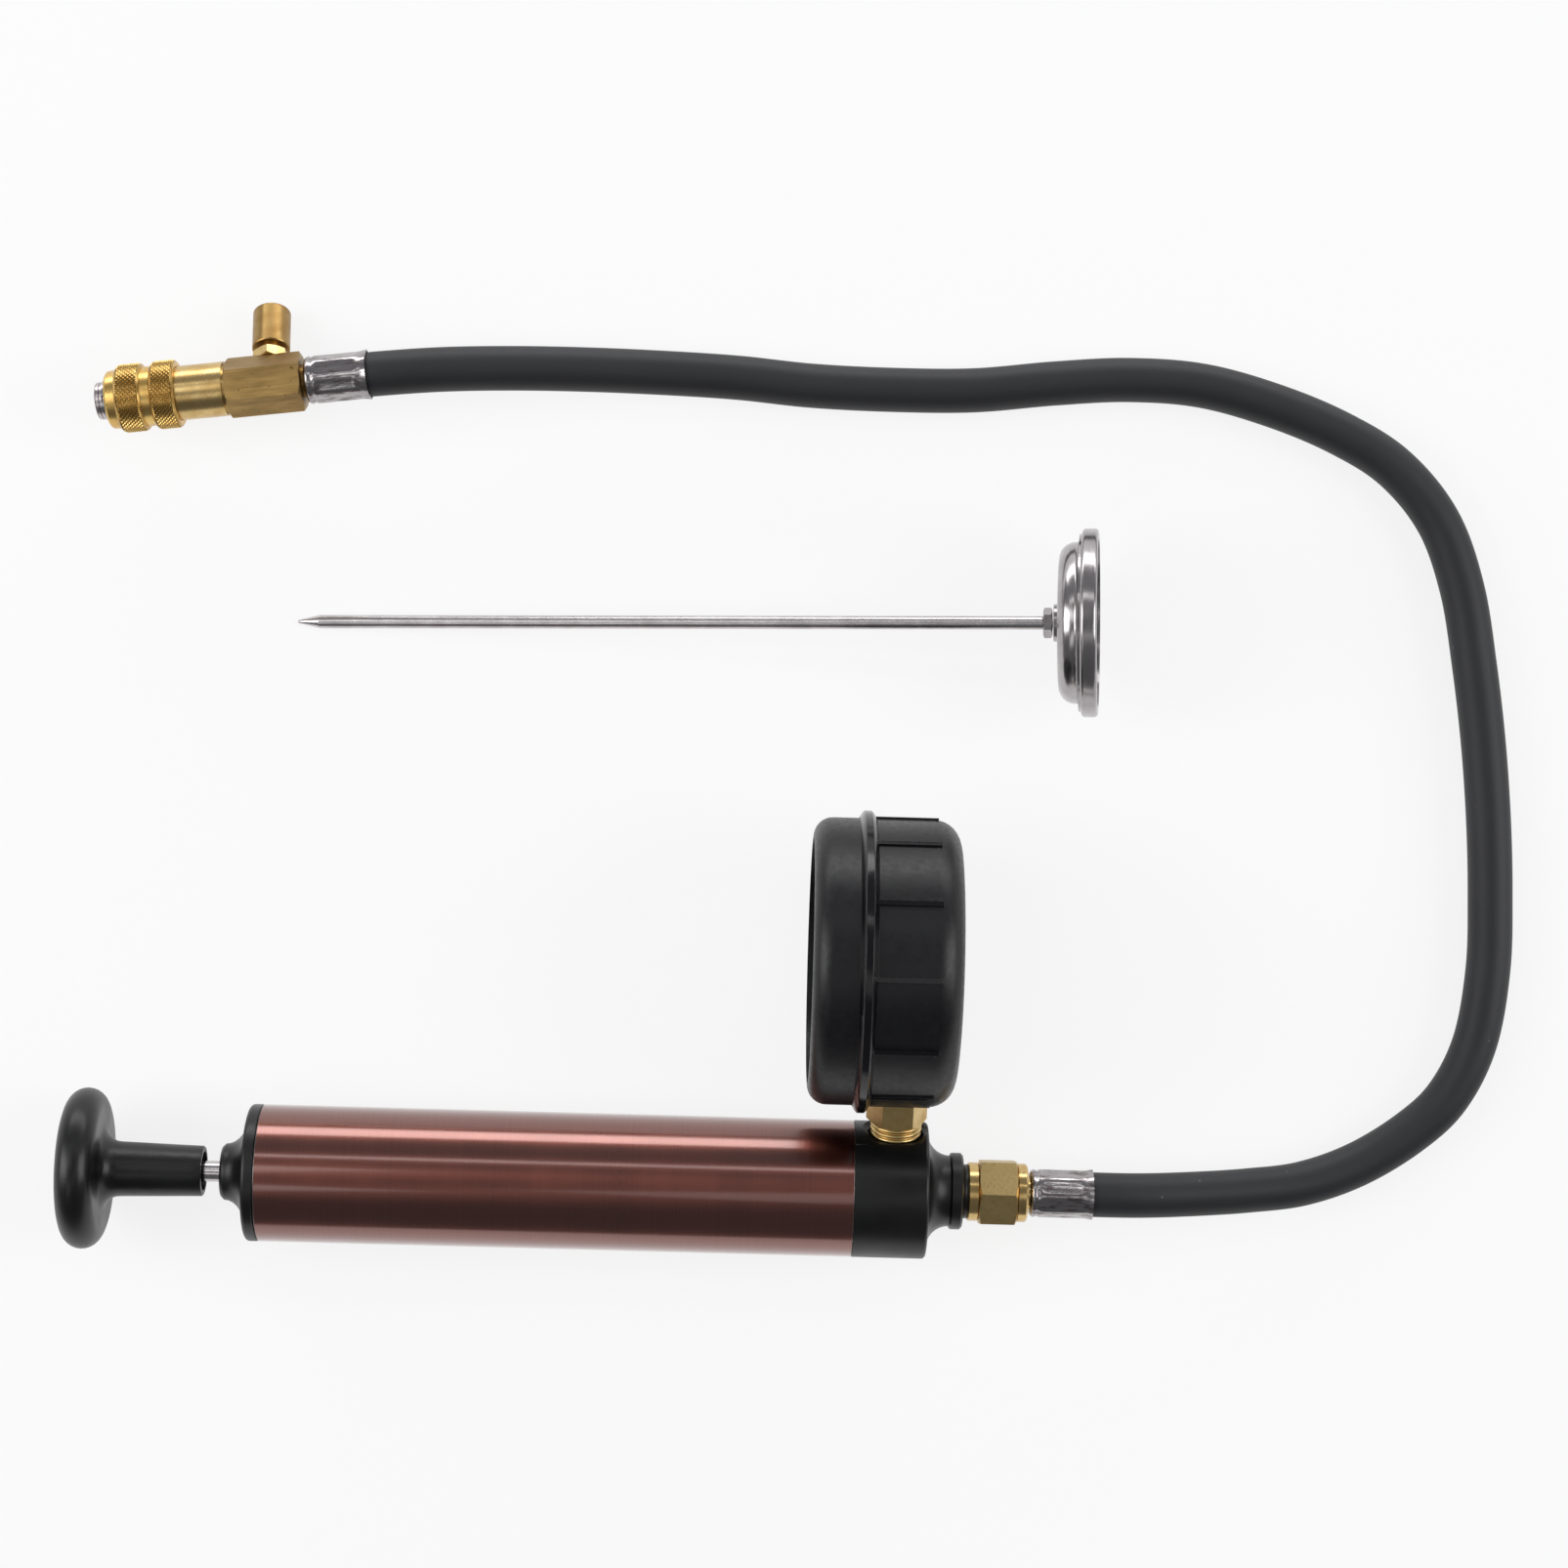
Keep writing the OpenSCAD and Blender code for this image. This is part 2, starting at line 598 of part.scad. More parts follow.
module front_head() {
    groove_u = head_face + 5;
    groove_w = head_seal_cord + 0.3;
    groove_r = bore_r - head_seal_cord - 0.08;
    color("#1c1c1e") pump_frame() difference() {
        turned(concat([[0, head_face], [spigot_r - 0.6, head_face],
                [spigot_r, head_face + 0.6], [spigot_r, groove_u], [groove_r, groove_u],
                [groove_r, groove_u + groove_w], [spigot_r, groove_u + groove_w],
                [spigot_r, barrel_len + seat_gap], [barrel_r, barrel_len + seat_gap]],
            arc([barrel_r - edge_round, head_shoulder - edge_round], edge_round, 0, 90),
            reversed(flare(head_collar_d / 2 - 0.8, collar_start,
                barrel_r - edge_round - 1.4, head_shoulder)),
            [[head_collar_d / 2 - 0.4, collar_start], [head_collar_d / 2, collar_start + 0.4],
                [head_collar_d / 2, collar_end - 0.6], [head_collar_d / 2 - 0.6, collar_end],
                [head_neck_d / 2, collar_end], [head_neck_d / 2, head_end], [0, head_end]]));
        rod_x(outlet_thread_d / 2 + seat_gap, chamber_end, head_end + cut);
        rod_x(chamber_d / 2, seat_end, chamber_end + cut);
        turned([[0, seat_start - cut], [inlet_d / 2, seat_start - cut],
            [inlet_d / 2, seat_start], [chamber_d / 2, seat_end],
            [chamber_d / 2, seat_end + cut], [0, seat_end + cut]]);
        rod_x(inlet_d / 2, head_face - cut, seat_start);
        translate([gauge_u, 0, 0]) rotate([gauge_roll - 90, 0, 0]) {
            rod_z(socket_af / 2 + 1.6, spot_r, barrel_r + 5);
            rod_z(socket_thread_d / 2 + seat_gap,
                spot_r - socket_thread_len - 0.6, spot_r + cut);
            rod_z(tail_bore / 2, 0, spot_r);
        }
    }
}
module head_seal() {
    cord_r = head_seal_cord / 2;
    color("#202020") pump_frame()
        ring_x(bore_r - 0.03 - cord_r, cord_r, head_face + 5.15 + cord_r);
}
module check_ball() {
    color("silver") pump_frame() translate([ball_u, 0, 0]) sphere(r = ball_r);
}
module check_spring() {
    mean_r = ball_r * 0.68;
    wire_r = 0.25;
    start = ball_u + sqrt(ball_r * ball_r - (mean_r - wire_r) * (mean_r - wire_r)) + 0.05;
    end = thread_start - seat_gap;
    // the coils are still this far apart when the ball has lifted
    lifted_pitch = 2.75;
    color("silver") pump_frame()
        coil_x(mean_r, wire_r, start, end, floor((end - start - ball_lift) / lifted_pitch));
}
module outlet_fitting() {
    ring_r = fitting_ring_d / 2;
    thread_r = outlet_thread_d / 2;
    color("#b8964a") pump_frame() difference() {
        union() {
            turned([[0, thread_start], [thread_r - 0.5, thread_start],
                [thread_r, thread_start + 0.5], [thread_r, fitting_start],
                [ring_r - 0.3, fitting_start], [ring_r, fitting_start + 0.4],
                [ring_r, hex_start - 0.3], [ring_r - 0.4, hex_start],
                [ring_r - 0.4, hex_end], [ring_r, hex_end + 0.3],
                [ring_r, fitting_end - 0.5], [ring_r - 0.5, fitting_end],
                [4.4, fitting_end], [4.4, ferrule_start + collar_t - 0.2],
                [0, ferrule_start + collar_t - 0.2]]);
            rotate([28, 0, 0]) hex_x(fitting_af, hex_start, hex_end, 1);
            hose_tail(ferrule_start + collar_t);
        }
        rod_x(tail_bore / 2, thread_start - cut, ferrule_start + collar_t + tail_len + cut);
    }
}
module pump_ferrule() {
    color("#9a9a9c") pump_frame() translate([ferrule_start + ferrule_len, 0, 0])
        mirror([1, 0, 0]) ferrule(4.5);
}
module knob() {
    hollow_r = shank_end_d / 2 - shank_wall;
    hollow_start = shank_end - shank_hollow;
    rim_r = knob_t / 2;
    color("#18181a") pump_frame() difference() {
        turned(concat([[0, disc_back + 0.6], [knob_r - rim_r - 5, disc_back + 0.6],
                [knob_r - rim_r - 2, disc_back]],
            arc([knob_r - rim_r, disc_mid], rim_r, -90, 90, 14),
            arc([shank_d / 2 + knob_fillet, disc_front + knob_fillet], knob_fillet, -90, -180),
            [[shank_end_d / 2, shank_end - 0.3], [shank_end_d / 2 - 0.3, shank_end],
                [0, shank_end]]));
        difference() {
            rod_x(hollow_r, hollow_start, shank_end + cut);
            difference() {
                for (a = [0:90:270]) rotate([a, 0, 0])
                    translate([hollow_start - cut, -shank_rib_t / 2, rod_r - cut])
                    cube([shank_hollow - 2, shank_rib_t, hollow_r]);
                rod_x(rod_r + seat_gap, hollow_start - 1, shank_end);
            }
        }
        rod_x(rod_r + seat_gap, rod_start - seat_gap, shank_end + cut);
    }
}
module pump_rod() {
    thread_r = rod_thread_d / 2;
    color("#d0d0d0") pump_frame() turned([[0, rod_start], [rod_r - 0.4, rod_start],
        [rod_r, rod_start + 0.4], [rod_r, piston_back], [thread_r, piston_back],
        [thread_r, rod_tip - 0.4], [thread_r - 0.4, rod_tip], [0, rod_tip]]);
}
module piston() {
    color("#e6e2d8") pump_frame() difference() {
        turned([[0, piston_back + seat_gap], [bore_r - 1.4, piston_back + seat_gap],
            [bore_r - 0.4, piston_back + 1], [bore_r - 0.4, piston_back + piston_t],
            [0, piston_back + piston_t]]);
        rod_x(rod_thread_d / 2 + seat_gap, piston_back, cup_back);
    }
}
module piston_cup() {
    lip_r = bore_r - run_gap;
    color("#303030") pump_frame() difference() {
        turned([[0, cup_back], [lip_r - 1.6, cup_back], [lip_r - 0.4, cup_back + 0.8],
            [lip_r, cup_back + cup_t + cup_lip], [lip_r - 0.8, cup_back + cup_t + cup_lip],
            [lip_r - 2.2, cup_back + cup_t], [0, cup_back + cup_t]]);
        rod_x(rod_thread_d / 2 + seat_gap, cup_back - cut, cup_back + cup_t + cut);
    }
}
module piston_washer() {
    color("silver") pump_frame() difference() {
        rod_x(clamp_d / 2, clamp_back, clamp_back + clamp_t);
        rod_x(rod_thread_d / 2 + seat_gap, clamp_back - cut, nut_back);
    }
}
module piston_nut() {
    color("silver") pump_frame() difference() {
        hex_x(rod_nut_af, nut_back, nut_front, 0.5);
        rod_x(rod_thread_d / 2 + seat_gap, nut_back - cut, nut_front + cut);
    }
}

// ---- Gauge ----
module gauge_boot() {
    ridge_r = ridge_d / 2;
    lip_r = bezel_in_r + 1.6;
    color("#202022") gauge_frame() difference() {
        union() {
            rotate_extrude() polygon(concat(
                arc([boot_r - 7, -boot_back + 7], 7, -90, 0, 8),
                [[boot_r, ridge_set - ridge_w / 2 - 0.8],
                    [ridge_r - 0.6, ridge_set - ridge_w / 2],
                    [ridge_r, ridge_set - ridge_w / 2 + 0.6],
                    [ridge_r, ridge_set + ridge_w / 2 - 0.6],
                    [ridge_r - 0.6, ridge_set + ridge_w / 2],
                    [boot_r, ridge_set + ridge_w / 2 + 0.8]],
                arc([boot_r - 5, boot_front - 5], 5, 0, 90, 8),
                [[lip_r, boot_front], [lip_r, boot_front - 2.4],
                    [boot_bore_r, boot_front - 2.4], [boot_bore_r, -boot_back + 2.2],
                    [0, -boot_back + 2.2], [0, -boot_back]]));
            for (i = [0:boot_ribs - 1]) rotate([0, 0, (i + 0.5) * 360 / boot_ribs])
                translate([-boot_rib_w / 2, boot_r - 1, -boot_back + 6])
                cube([boot_rib_w, 1 + boot_rib_h, boot_back + ridge_set - 6]);
        }
        rotate([90, 0, 0]) rod_z(socket_af / sqrt(3) + 0.4, boot_bore_r - 5,
            max(ridge_r, boot_r + boot_rib_h) + cut);
    }
}
module gauge_case() {
    color("#2c2c2e") gauge_frame() difference() {
        rod_z(case_r, case_back, case_front);
        rod_z(case_in_r, case_back + case_wall, case_front + cut);
        rotate([90, 0, 0]) rod_z(socket_thread_d / 2 + seat_gap, case_in_r - 3, case_r + 1);
    }
}
module gauge_bezel() {
    lip_z = lens_z + gauge_lens_t + seat_gap;
    color("#2a2a2a") gauge_frame() rotate_extrude() polygon([
        [case_in_r, lens_z], [case_r, lens_z], [case_r, lip_z + 0.5], [case_r - 0.6, lip_z + 1.1],
        [bezel_in_r + 0.6, lip_z + 1.1], [bezel_in_r, lip_z + 0.6], [bezel_in_r, lip_z],
        [case_in_r, lip_z]]);
}
module gauge_lens() {
    color([0.85, 0.9, 0.95, 0.3]) gauge_frame()
        rod_z(case_in_r - seat_gap, lens_z, lens_z + gauge_lens_t);
}
module gauge_dial() {
    color("white") gauge_frame() difference() {
        rod_z(case_in_r - seat_gap, dial_z, dial_z + gauge_dial_t);
        rod_z(arbor_r + 0.8, dial_z - cut, dial_z + 1);
    }
}
module gauge_socket() {
    shank_r = socket_thread_d / 2;
    foot = gauge_arm - socket_foot;
    thread_end = gauge_arm - spot_r + socket_thread_len;
    color("#b8964a") gauge_frame() difference() {
        union() {
            rotate([90, 0, 0]) {
                rod_z(shank_r, case_in_r - 4, thread_end);
                hex_z(socket_af, case_r + 0.4, foot);
            }
            translate([-block_w / 2, -case_in_r + 3, bourdon_z - bourdon_w / 2 - 0.8])
                cube([block_w, case_in_r - 3 + block_top, bourdon_w + 8]);
        }
        rotate([90, 0, 0]) rod_z(tail_bore / 2, -block_top + 3, thread_end + cut);
        translate([-block_w, 0, 0]) bourdon_hole();
    }
}
// The way from the stem's bore into the curved tube
module bourdon_hole() {
    translate([0, -bourdon_r, bourdon_z]) rotate([0, 90, 0])
        cylinder(r = bourdon_t / 2 - 0.4, h = block_w);
}
module bourdon_tube() {
    start = asin((block_w / 2 + 0.1) / (bourdon_r - bourdon_t / 2));
    sweep = 270 - start - tube_tip_a;
    flat = bourdon_w - bourdon_t;
    color("#c08a50") gauge_frame() {
        translate([0, 0, bourdon_z]) rotate([0, 0, tube_tip_a]) rotate_extrude(angle = sweep)
            translate([bourdon_r, 0]) difference() {
                oval(bourdon_t, flat);
                oval(bourdon_t - 0.8, flat);
            }
        rotate([0, 0, tube_tip_a]) translate([bourdon_r, 0, 0]) {
            translate([-bourdon_t / 2, -1.2, bourdon_z - bourdon_w / 2])
                cube([bourdon_t, 1.4, bourdon_w]);
            translate([0, -0.6, 0]) rod_z(pin_r, link_z - 0.6, link_z + link_t + 0.4);
        }
    }
}
module oval(width, straight) {
    square([width, straight], center = true);
    for (side = [-1, 1]) translate([0, side * straight / 2]) circle(d = width, $fn = 24);
}
module gear_teeth(count, r, first, last) {
    add = gear_module * 0.8;
    ded = gear_module * 1.1;
    step = 360 / count;
    for (i = [first:last]) rotate([0, 0, i * step]) polygon([
        [r - ded - 0.2, -step * 0.30 * PI / 180 * r], [r, -step * 0.19 * PI / 180 * r],
        [r + add, -step * 0.10 * PI / 180 * r], [r + add, step * 0.10 * PI / 180 * r],
        [r, step * 0.19 * PI / 180 * r], [r - ded - 0.2, step * 0.30 * PI / 180 * r]]);
}
module sector_gear() {
    root = sector_r - gear_module * 1.1;
    half = sector_swing / 2;
    step = 360 / sector_teeth;
    color("#c9a55a") gauge_frame() translate([0, -sector_pivot, 0]) {
        translate([0, 0, gear_z]) linear_extrude(gear_w) difference() {
            union() {
                rotate([0, 0, 90 + step / 2]) gear_teeth(sector_teeth, sector_r,
                    -ceil((sector_swing + 4) / step), ceil(4 / step) - 1);
                rotate([0, 0, 90 - half]) {
                    intersection() {
                        difference() {
                            circle(r = root);
                            circle(r = root - 2.6);
                        }
                        polygon([[0, 0], 1.4 * root * [cos(half + 5), -sin(half + 5)],
                            1.4 * root * [cos(half + 5), sin(half + 5)]]);
                    }
                    translate([0, -1.1]) square([root - 1, 2.2]);
                }
                circle(r = 2.2);
                rotate([0, 0, tail_a]) {
                    translate([0, -1]) square([tail_r, 2]);
                    translate([tail_r, 0]) circle(r = 1.3);
                }
            }
            rotate([0, 0, tail_a]) translate([tail_r, 0]) circle(r = pin_r + run_gap);
        }
        rod_z(pin_r, plate_back_z + 0.3, plate_front_z + plate_t - 0.3);
    }
}
module pointer_arbor() {
    color("#c9a55a") gauge_frame() {
        rod_z(arbor_r, plate_back_z + 0.3, needle_z + 0.9);
        translate([0, 0, gear_z - 0.3]) linear_extrude(gear_w + 0.6) {
            circle(r = pinion_r - gear_module * 1.1);
            rotate([0, 0, -90]) gear_teeth(pinion_teeth, pinion_r, 0, pinion_teeth - 1);
        }
    }
}
module movement_plates() {
    low = block_top + seat_gap;
    post_x = plate_w / 2 - post_r - 0.4;
    color("#c9a55a") gauge_frame() difference() {
        union() {
            for (z = [plate_back_z, plate_front_z])
                translate([-plate_w / 2, low, z]) cube([plate_w, plate_top - low, plate_t]);
            for (x = [-post_x, post_x], y = [low + 1.7, plate_top - 2])
                translate([x, y, 0]) rod_z(post_r, plate_back_z, plate_front_z + plate_t);
        }
        rod_z(arbor_r + run_gap, plate_back_z - cut, plate_front_z + plate_t + cut);
        translate([0, -sector_pivot, 0])
            rod_z(pin_r + run_gap, plate_back_z - cut, plate_front_z + plate_t + cut);
    }
}
// The link's slotted end takes the tube's pin, which the real tube moves by bending.
module gauge_link() {
    pin_place = tube_tip + 0.6 * [sin(tube_tip_a), -cos(tube_tip_a)];
    reach = norm(pin_place - tail_tip);
    turn = atan2(pin_place[1] - tail_tip[1], pin_place[0] - tail_tip[0]);
    slot = 2 * tail_r * sin(sector_swing / 2) + 0.4;
    slot_r = pin_r + tail_r * (1 - cos(sector_swing / 2)) + 0.15;
    color("#c9a55a") gauge_frame() translate([tail_tip[0], tail_tip[1], 0])
        rotate([0, 0, turn]) {
            rod_z(pin_r, gear_z + 0.1, link_z + link_t);
            translate([0, 0, link_z]) linear_extrude(link_t) difference() {
                union() {
                    circle(r = 1.2);
                    translate([0, -0.8]) square([reach - slot, 1.6]);
                    translate([reach - slot - 1.2, -slot_r - 0.6])
                        square([slot + 2.4 + slot_r, 2 * slot_r + 1.2]);
                }
                translate([reach - slot, -slot_r]) square([slot + 0.2, 2 * slot_r]);
                translate([reach - slot, 0]) circle(r = slot_r);
                translate([reach + 0.2, 0]) circle(r = slot_r);
            }
        }
}
module gauge_pointer() {
    color("#202020") gauge_frame() rotate([0, 0, 135]) translate([0, 0, needle_z])
        linear_extrude(0.6) difference() {
            union() {
                circle(r = 3);
                polygon([[-1.3, -8], [1.3, -8], [0.5, needle_len - 4], [0, needle_len],
                    [-0.5, needle_len - 4]]);
            }
            circle(r = arbor_r + seat_gap);
        }
}

// ---- Hose ----
module hose() {
    way = concat([pump_point(hose_start_u), pump_point(ferrule_start + ferrule_len - 1)],
        hose_way, [coupler_point(1), coupler_point(hose_end_s)]);
    line = smooth_way(way, hose_steps);
    rings = len(line);
    ahead = [for (i = [0:rings - 1]) unit(line[min(i + 1, rings - 1)] - line[max(i - 1, 0)])];
    bore = hose_bore / 2;
    // the outside is squeezed inside both ferrules
    out_r = [for (i = [0:rings - 1])
        i <= hose_steps || i >= rings - 1 - hose_steps ? crimp_r : hose_r];
    ring_points = [for (i = [0:rings - 1], r = [out_r[i], bore], k = [0:hose_sides - 1])
        let (side = unit(cross([0, 0, 1], ahead[i])), up = cross(ahead[i], side),
            a = 360 * k / hose_sides)
        line[i] + r * (cos(a) * side + sin(a) * up)];
    n = hose_sides;
    walls = [for (i = [0:rings - 2], k = [0:n - 1])
        let (a = 2 * n * i + k, b = 2 * n * i + (k + 1) % n, c = a + 2 * n, d = b + 2 * n)
        each [[a, b, d], [a, d, c], [a + n, d + n, b + n], [a + n, c + n, d + n]]];
    last = 2 * n * (rings - 1);
    ends = [for (k = [0:n - 1]) let (j = (k + 1) % n)
        each [[k, k + n, j + n], [k, j + n, j],
            shifted([k, j + n, k + n], last), shifted([k, j, j + n], last)]];
    color("#3c4048") polyhedron(ring_points, concat(walls, ends));
}

// ---- Coupler ----
module coupler_ferrule() {
    color("#9a9a9c") coupler_frame() ferrule(4.5);
}
module valve_body() {
    tail_start = ferrule_len - collar_t;
    color("#b8964a") difference() {
        coupler_frame() union() {
            rotate([90 + relief_roll, 0, 0]) hex_x(valve_af, valve_start, valve_end, 1);
            rod_x(4.4, tail_start + 0.2, valve_start + 1);
            translate([tail_start, 0, 0]) mirror([1, 0, 0]) hose_tail(0);
        }
        coupler_frame() {
            rod_x(tail_bore / 2, tail_start - tail_len - cut, valve_end);
            rod_x(union_r + seat_gap, valve_end - union_len - 0.4, valve_end + cut);
        }
        relief_frame() {
            rod_z(relief_spigot_r + 0.9 + seat_gap, relief_seat_z, valve_af);
            rod_z(2, 0, relief_seat_z + cut);
        }
    }
}
module relief_seat() {
    thread_r = relief_spigot_r + 0.9;
    color("#c09a50") relief_frame() difference() {
        union() {
            rod_z(thread_r, relief_seat_z + seat_gap, relief_hex_start + cut);
            hex_z(relief_af, relief_hex_start, relief_hex_end, 0.6);
            rod_z(relief_spigot_r, relief_hex_end - 1, relief_roof - relief_travel - 0.6);
        }
        rod_z(1, relief_seat_z - cut, relief_roof);
        rod_z(1.75, relief_hex_start, relief_roof);
    }
}
module relief_cap() {
    color("#c09a50") relief_frame() difference() {
        rotate_extrude() polygon(concat([[0, relief_cap_start],
                [relief_cap_r - 0.2, relief_cap_start], [relief_cap_r, relief_cap_start + 0.3]],
            arc([relief_cap_r - cap_round, relief_cap_end - cap_round], cap_round, 0, 90, 4),
            [[0, relief_cap_end]]));
        rod_z(relief_spigot_r + run_gap, relief_cap_start - cut, relief_roof);
        rod_z(0.8, relief_roof - cut, relief_cap_end - 0.6);
    }
}
module relief_pin() {
    color("silver") relief_frame() {
        rod_z(1.6, relief_seat_z - 1.1, relief_seat_z - 0.1);
        rod_z(0.75, relief_seat_z - 0.5, relief_cap_end - 0.65);
    }
}
module relief_spring() {
    color("silver") relief_frame() rotate([0, -90, 0])
        coil_x(1.3, 0.2, relief_hex_start + 0.05, relief_roof - 0.05, 7, 5, 10);
}
module coupler_body() {
    color("#b9a36a") coupler_frame() difference() {
        turned([[0, valve_end - union_len], [union_r - 0.4, valve_end - union_len],
            [union_r, valve_end - union_len + 0.4], [union_r, valve_end],
            [coupler_r - 0.9, valve_end + seat_gap], [coupler_r - 0.9, grip_start],
            [coupler_r, grip_start], [coupler_r, spring_back_s],
            [nose_r, spring_back_s], [nose_r, ring_s - 0.05], [ring_groove_r, ring_s - 0.05],
            [ring_groove_r, ring_s + ring_t + 0.05], [nose_r, ring_s + ring_t + 0.05],
            [nose_r, nose_end - 0.3], [nose_r - 0.3, nose_end], [0, nose_end]]);
        rod_x(socket_r, seal_s, nose_end + cut);
        rod_x(throat_r, socket_end - cut, seal_s);
        turned([[0, socket_end - 1], [poppet_chamber_r, socket_end - 1],
            [throat_r, socket_end], [0, socket_end]]);
        rod_x(poppet_chamber_r, valve_end - union_len - cut, socket_end - 1 + cut);
        rod_x(socket_r + 0.95, seal_s - 0.6, seal_s + 0.6);
        for (i = [0:lock_ball_count - 1]) rotate([i * 360 / lock_ball_count + 45, 0, 0])
            translate([ball_s, 0, 0]) rod_z(lock_ball_d / 2 + 0.04, 0, nose_r + 0.2);
    }
}
module coupler_sleeve() {
    band_r = sleeve_d / 2;
    mid_r = sleeve_groove_d / 2;
    color("#caa04e") coupler_frame() difference() {
        turned([[0, sleeve_start], [band_r - 0.5, sleeve_start], [band_r, sleeve_start + 0.4],
            [band_r, band_a_end - 0.4], [band_r - 0.4, band_a_end], [mid_r, band_a_end],
            [mid_r, band_b_start], [band_r - 0.4, band_b_start], [band_r, band_b_start + 0.4],
            [band_r, band_b_end - 0.4], [band_r - 0.4, band_b_end], [mid_r, band_b_end],
            [mid_r - 0.25, sleeve_end - 0.6], [mid_r - 0.8, sleeve_end], [0, sleeve_end]]);
        rod_x(coupler_r + run_gap, sleeve_start - cut, sleeve_step_s);
        rod_x(nose_r + run_gap, sleeve_start, sleeve_end + cut);
        // the balls move out into this recess when the sleeve is drawn back
        rod_x(nose_r + 1, ball_s + sleeve_travel - 1.4, sleeve_end - 1);
    }
}
module sleeve_spring() {
    color("silver") coupler_frame() coil_x((nose_r + coupler_r) / 2, 0.4,
        spring_back_s + 0.05, sleeve_step_s - 0.05, 4, 6, 14);
}
module lock_balls() {
    color("silver") coupler_frame() for (i = [0:lock_ball_count - 1])
        rotate([i * 360 / lock_ball_count + 45, 0, 0])
            translate([ball_s, 0, (nose_r + socket_r) / 2]) sphere(r = lock_ball_d / 2);
}
module sleeve_ring() {
    color("silver") coupler_frame() difference() {
        rod_x(nose_r + 0.45, ring_s, ring_s + ring_t);
        rod_x(ring_groove_r + 0.05, ring_s - cut, ring_s + ring_t + cut);
        translate([ring_s - cut, -0.8, 0]) cube([ring_t + 1, 1.6, nose_r + 1]);
    }
}
module socket_seal() {
    color("#202020") coupler_frame() ring_x(socket_r + 0.48, 0.44, seal_s);
}
module coupler_poppet() {
    tail = poppet_face - poppet_travel - 2.5;
    tip = poppet_face + poppet_travel + 0.5;
    color("silver") coupler_frame() turned([[0, tail], [1, tail], [1, poppet_face - 1.6],
        [poppet_chamber_r - 0.4, poppet_face - 1.6],
        [poppet_chamber_r - 0.4, poppet_face - 0.6], [throat_r - 0.4, poppet_face],
        [1.1, poppet_face], [1.1, tip], [0, tip]]);
}
module poppet_spring() {
    color("silver") coupler_frame() coil_x(2.6, 0.3, valve_end - union_len - 0.3,
        poppet_face - 1.65, 9, 5, 10);
}

// ---- Thermometer ----
module thermo_stem() {
    color("#c8c8ca") thermo_frame() difference() {
        turned([[0, 0], [point_r, 0], [stem_r, stem_point], [stem_r, stem_len - 0.3],
            [stem_neck_r, stem_len - 0.1], [stem_neck_r, hub_start + 0.6],
            [0, hub_start + 0.6]]);
        rod_x(stem_neck_r - 0.4, stem_point + 1, hub_start - 1);
        rod_x(spindle_r + run_gap, stem_point, hub_start + 1);
    }
}
module thermo_nut() {
    color("#b8b8ba") thermo_frame() difference() {
        hex_x(cal_nut_af, stem_len, cal_nut_end, 0.4);
        rod_x(stem_neck_r + seat_gap, stem_len - cut, cal_nut_end + cut);
    }
}
module thermo_collar() {
    color("#b8b8ba") thermo_frame() difference() {
        turned([[0, hub_start], [head_hub_d / 2 - 0.2, hub_start],
            [head_hub_d / 2, hub_start + 0.2], [head_hub_d / 2, hub_end], [0, hub_end]]);
        rod_x(stem_neck_r + run_gap, hub_start - cut, hub_start + 0.65);
        rod_x(spindle_r + 0.3, hub_start, hub_end + cut);
    }
}
module thermo_case() {
    case_out_r = case_d / 2;
    corner = 4.4;
    sheet = 0.6;
    color("#c4c4c6") thermo_frame() difference() {
        turned(concat([[0, thermo_case_start]],
            arc([case_out_r - corner, thermo_case_start + corner], corner, -90, 0),
            [[case_out_r, thermo_case_end - sheet], [bezel_r - 1.4, thermo_case_end - sheet],
                [bezel_r - 1.4, thermo_case_end], [case_out_r - sheet, thermo_case_end]],
            arc([case_out_r - corner, thermo_case_start + corner], corner - sheet, 0, -90),
            [[0, thermo_case_start + sheet]]));
        rod_x(spindle_r + 0.3, thermo_case_start - cut, thermo_case_start + 1);
    }
}
module thermo_bezel() {
    in_r = bezel_r - 1.5;
    color("#c4c4c6") thermo_frame() turned(concat([[in_r, bezel_start]],
        arc([bezel_r - bezel_round, bezel_start + bezel_round], bezel_round, -90, 0),
        arc([bezel_r - bezel_round, bezel_end - bezel_round], bezel_round, 0, 90),
        [[in_r - 1.4, bezel_end], [in_r - 1.4, bezel_end - 0.6], [in_r, bezel_end - 0.6]]));
}
module thermo_lens() {
    top = bezel_end - 0.6 - seat_gap;
    color([0.85, 0.9, 0.95, 0.3]) thermo_frame()
        rod_x(bezel_r - 1.5 - seat_gap, top - thermo_lens_t, top);
}
module thermo_dial() {
    color("white") thermo_frame() difference() {
        rod_x(bezel_r - 1.5 - seat_gap, bezel_start, bezel_start + thermo_dial_t);
        rod_x(spindle_r + 0.3, bezel_start - cut, bezel_start + 1);
    }
}
module thermo_pointer() {
    face = bezel_start + thermo_dial_t + 0.5;
    color("#b02020") thermo_frame() translate([face, 0, 0]) rotate([0, 90, 0])
        linear_extrude(0.3) difference() {
            union() {
                circle(r = 1.8);
                polygon([[-0.8, -thermo_needle_tail], [0.8, -thermo_needle_tail],
                    [0.25, thermo_needle_len], [-0.25, thermo_needle_len]]);
            }
            circle(r = spindle_r + seat_gap);
        }
}
module thermo_spindle() {
    color("silver") thermo_frame()
        rod_x(spindle_r, thermo_coil_start - 1, bezel_start + thermo_dial_t + 1.1);
}
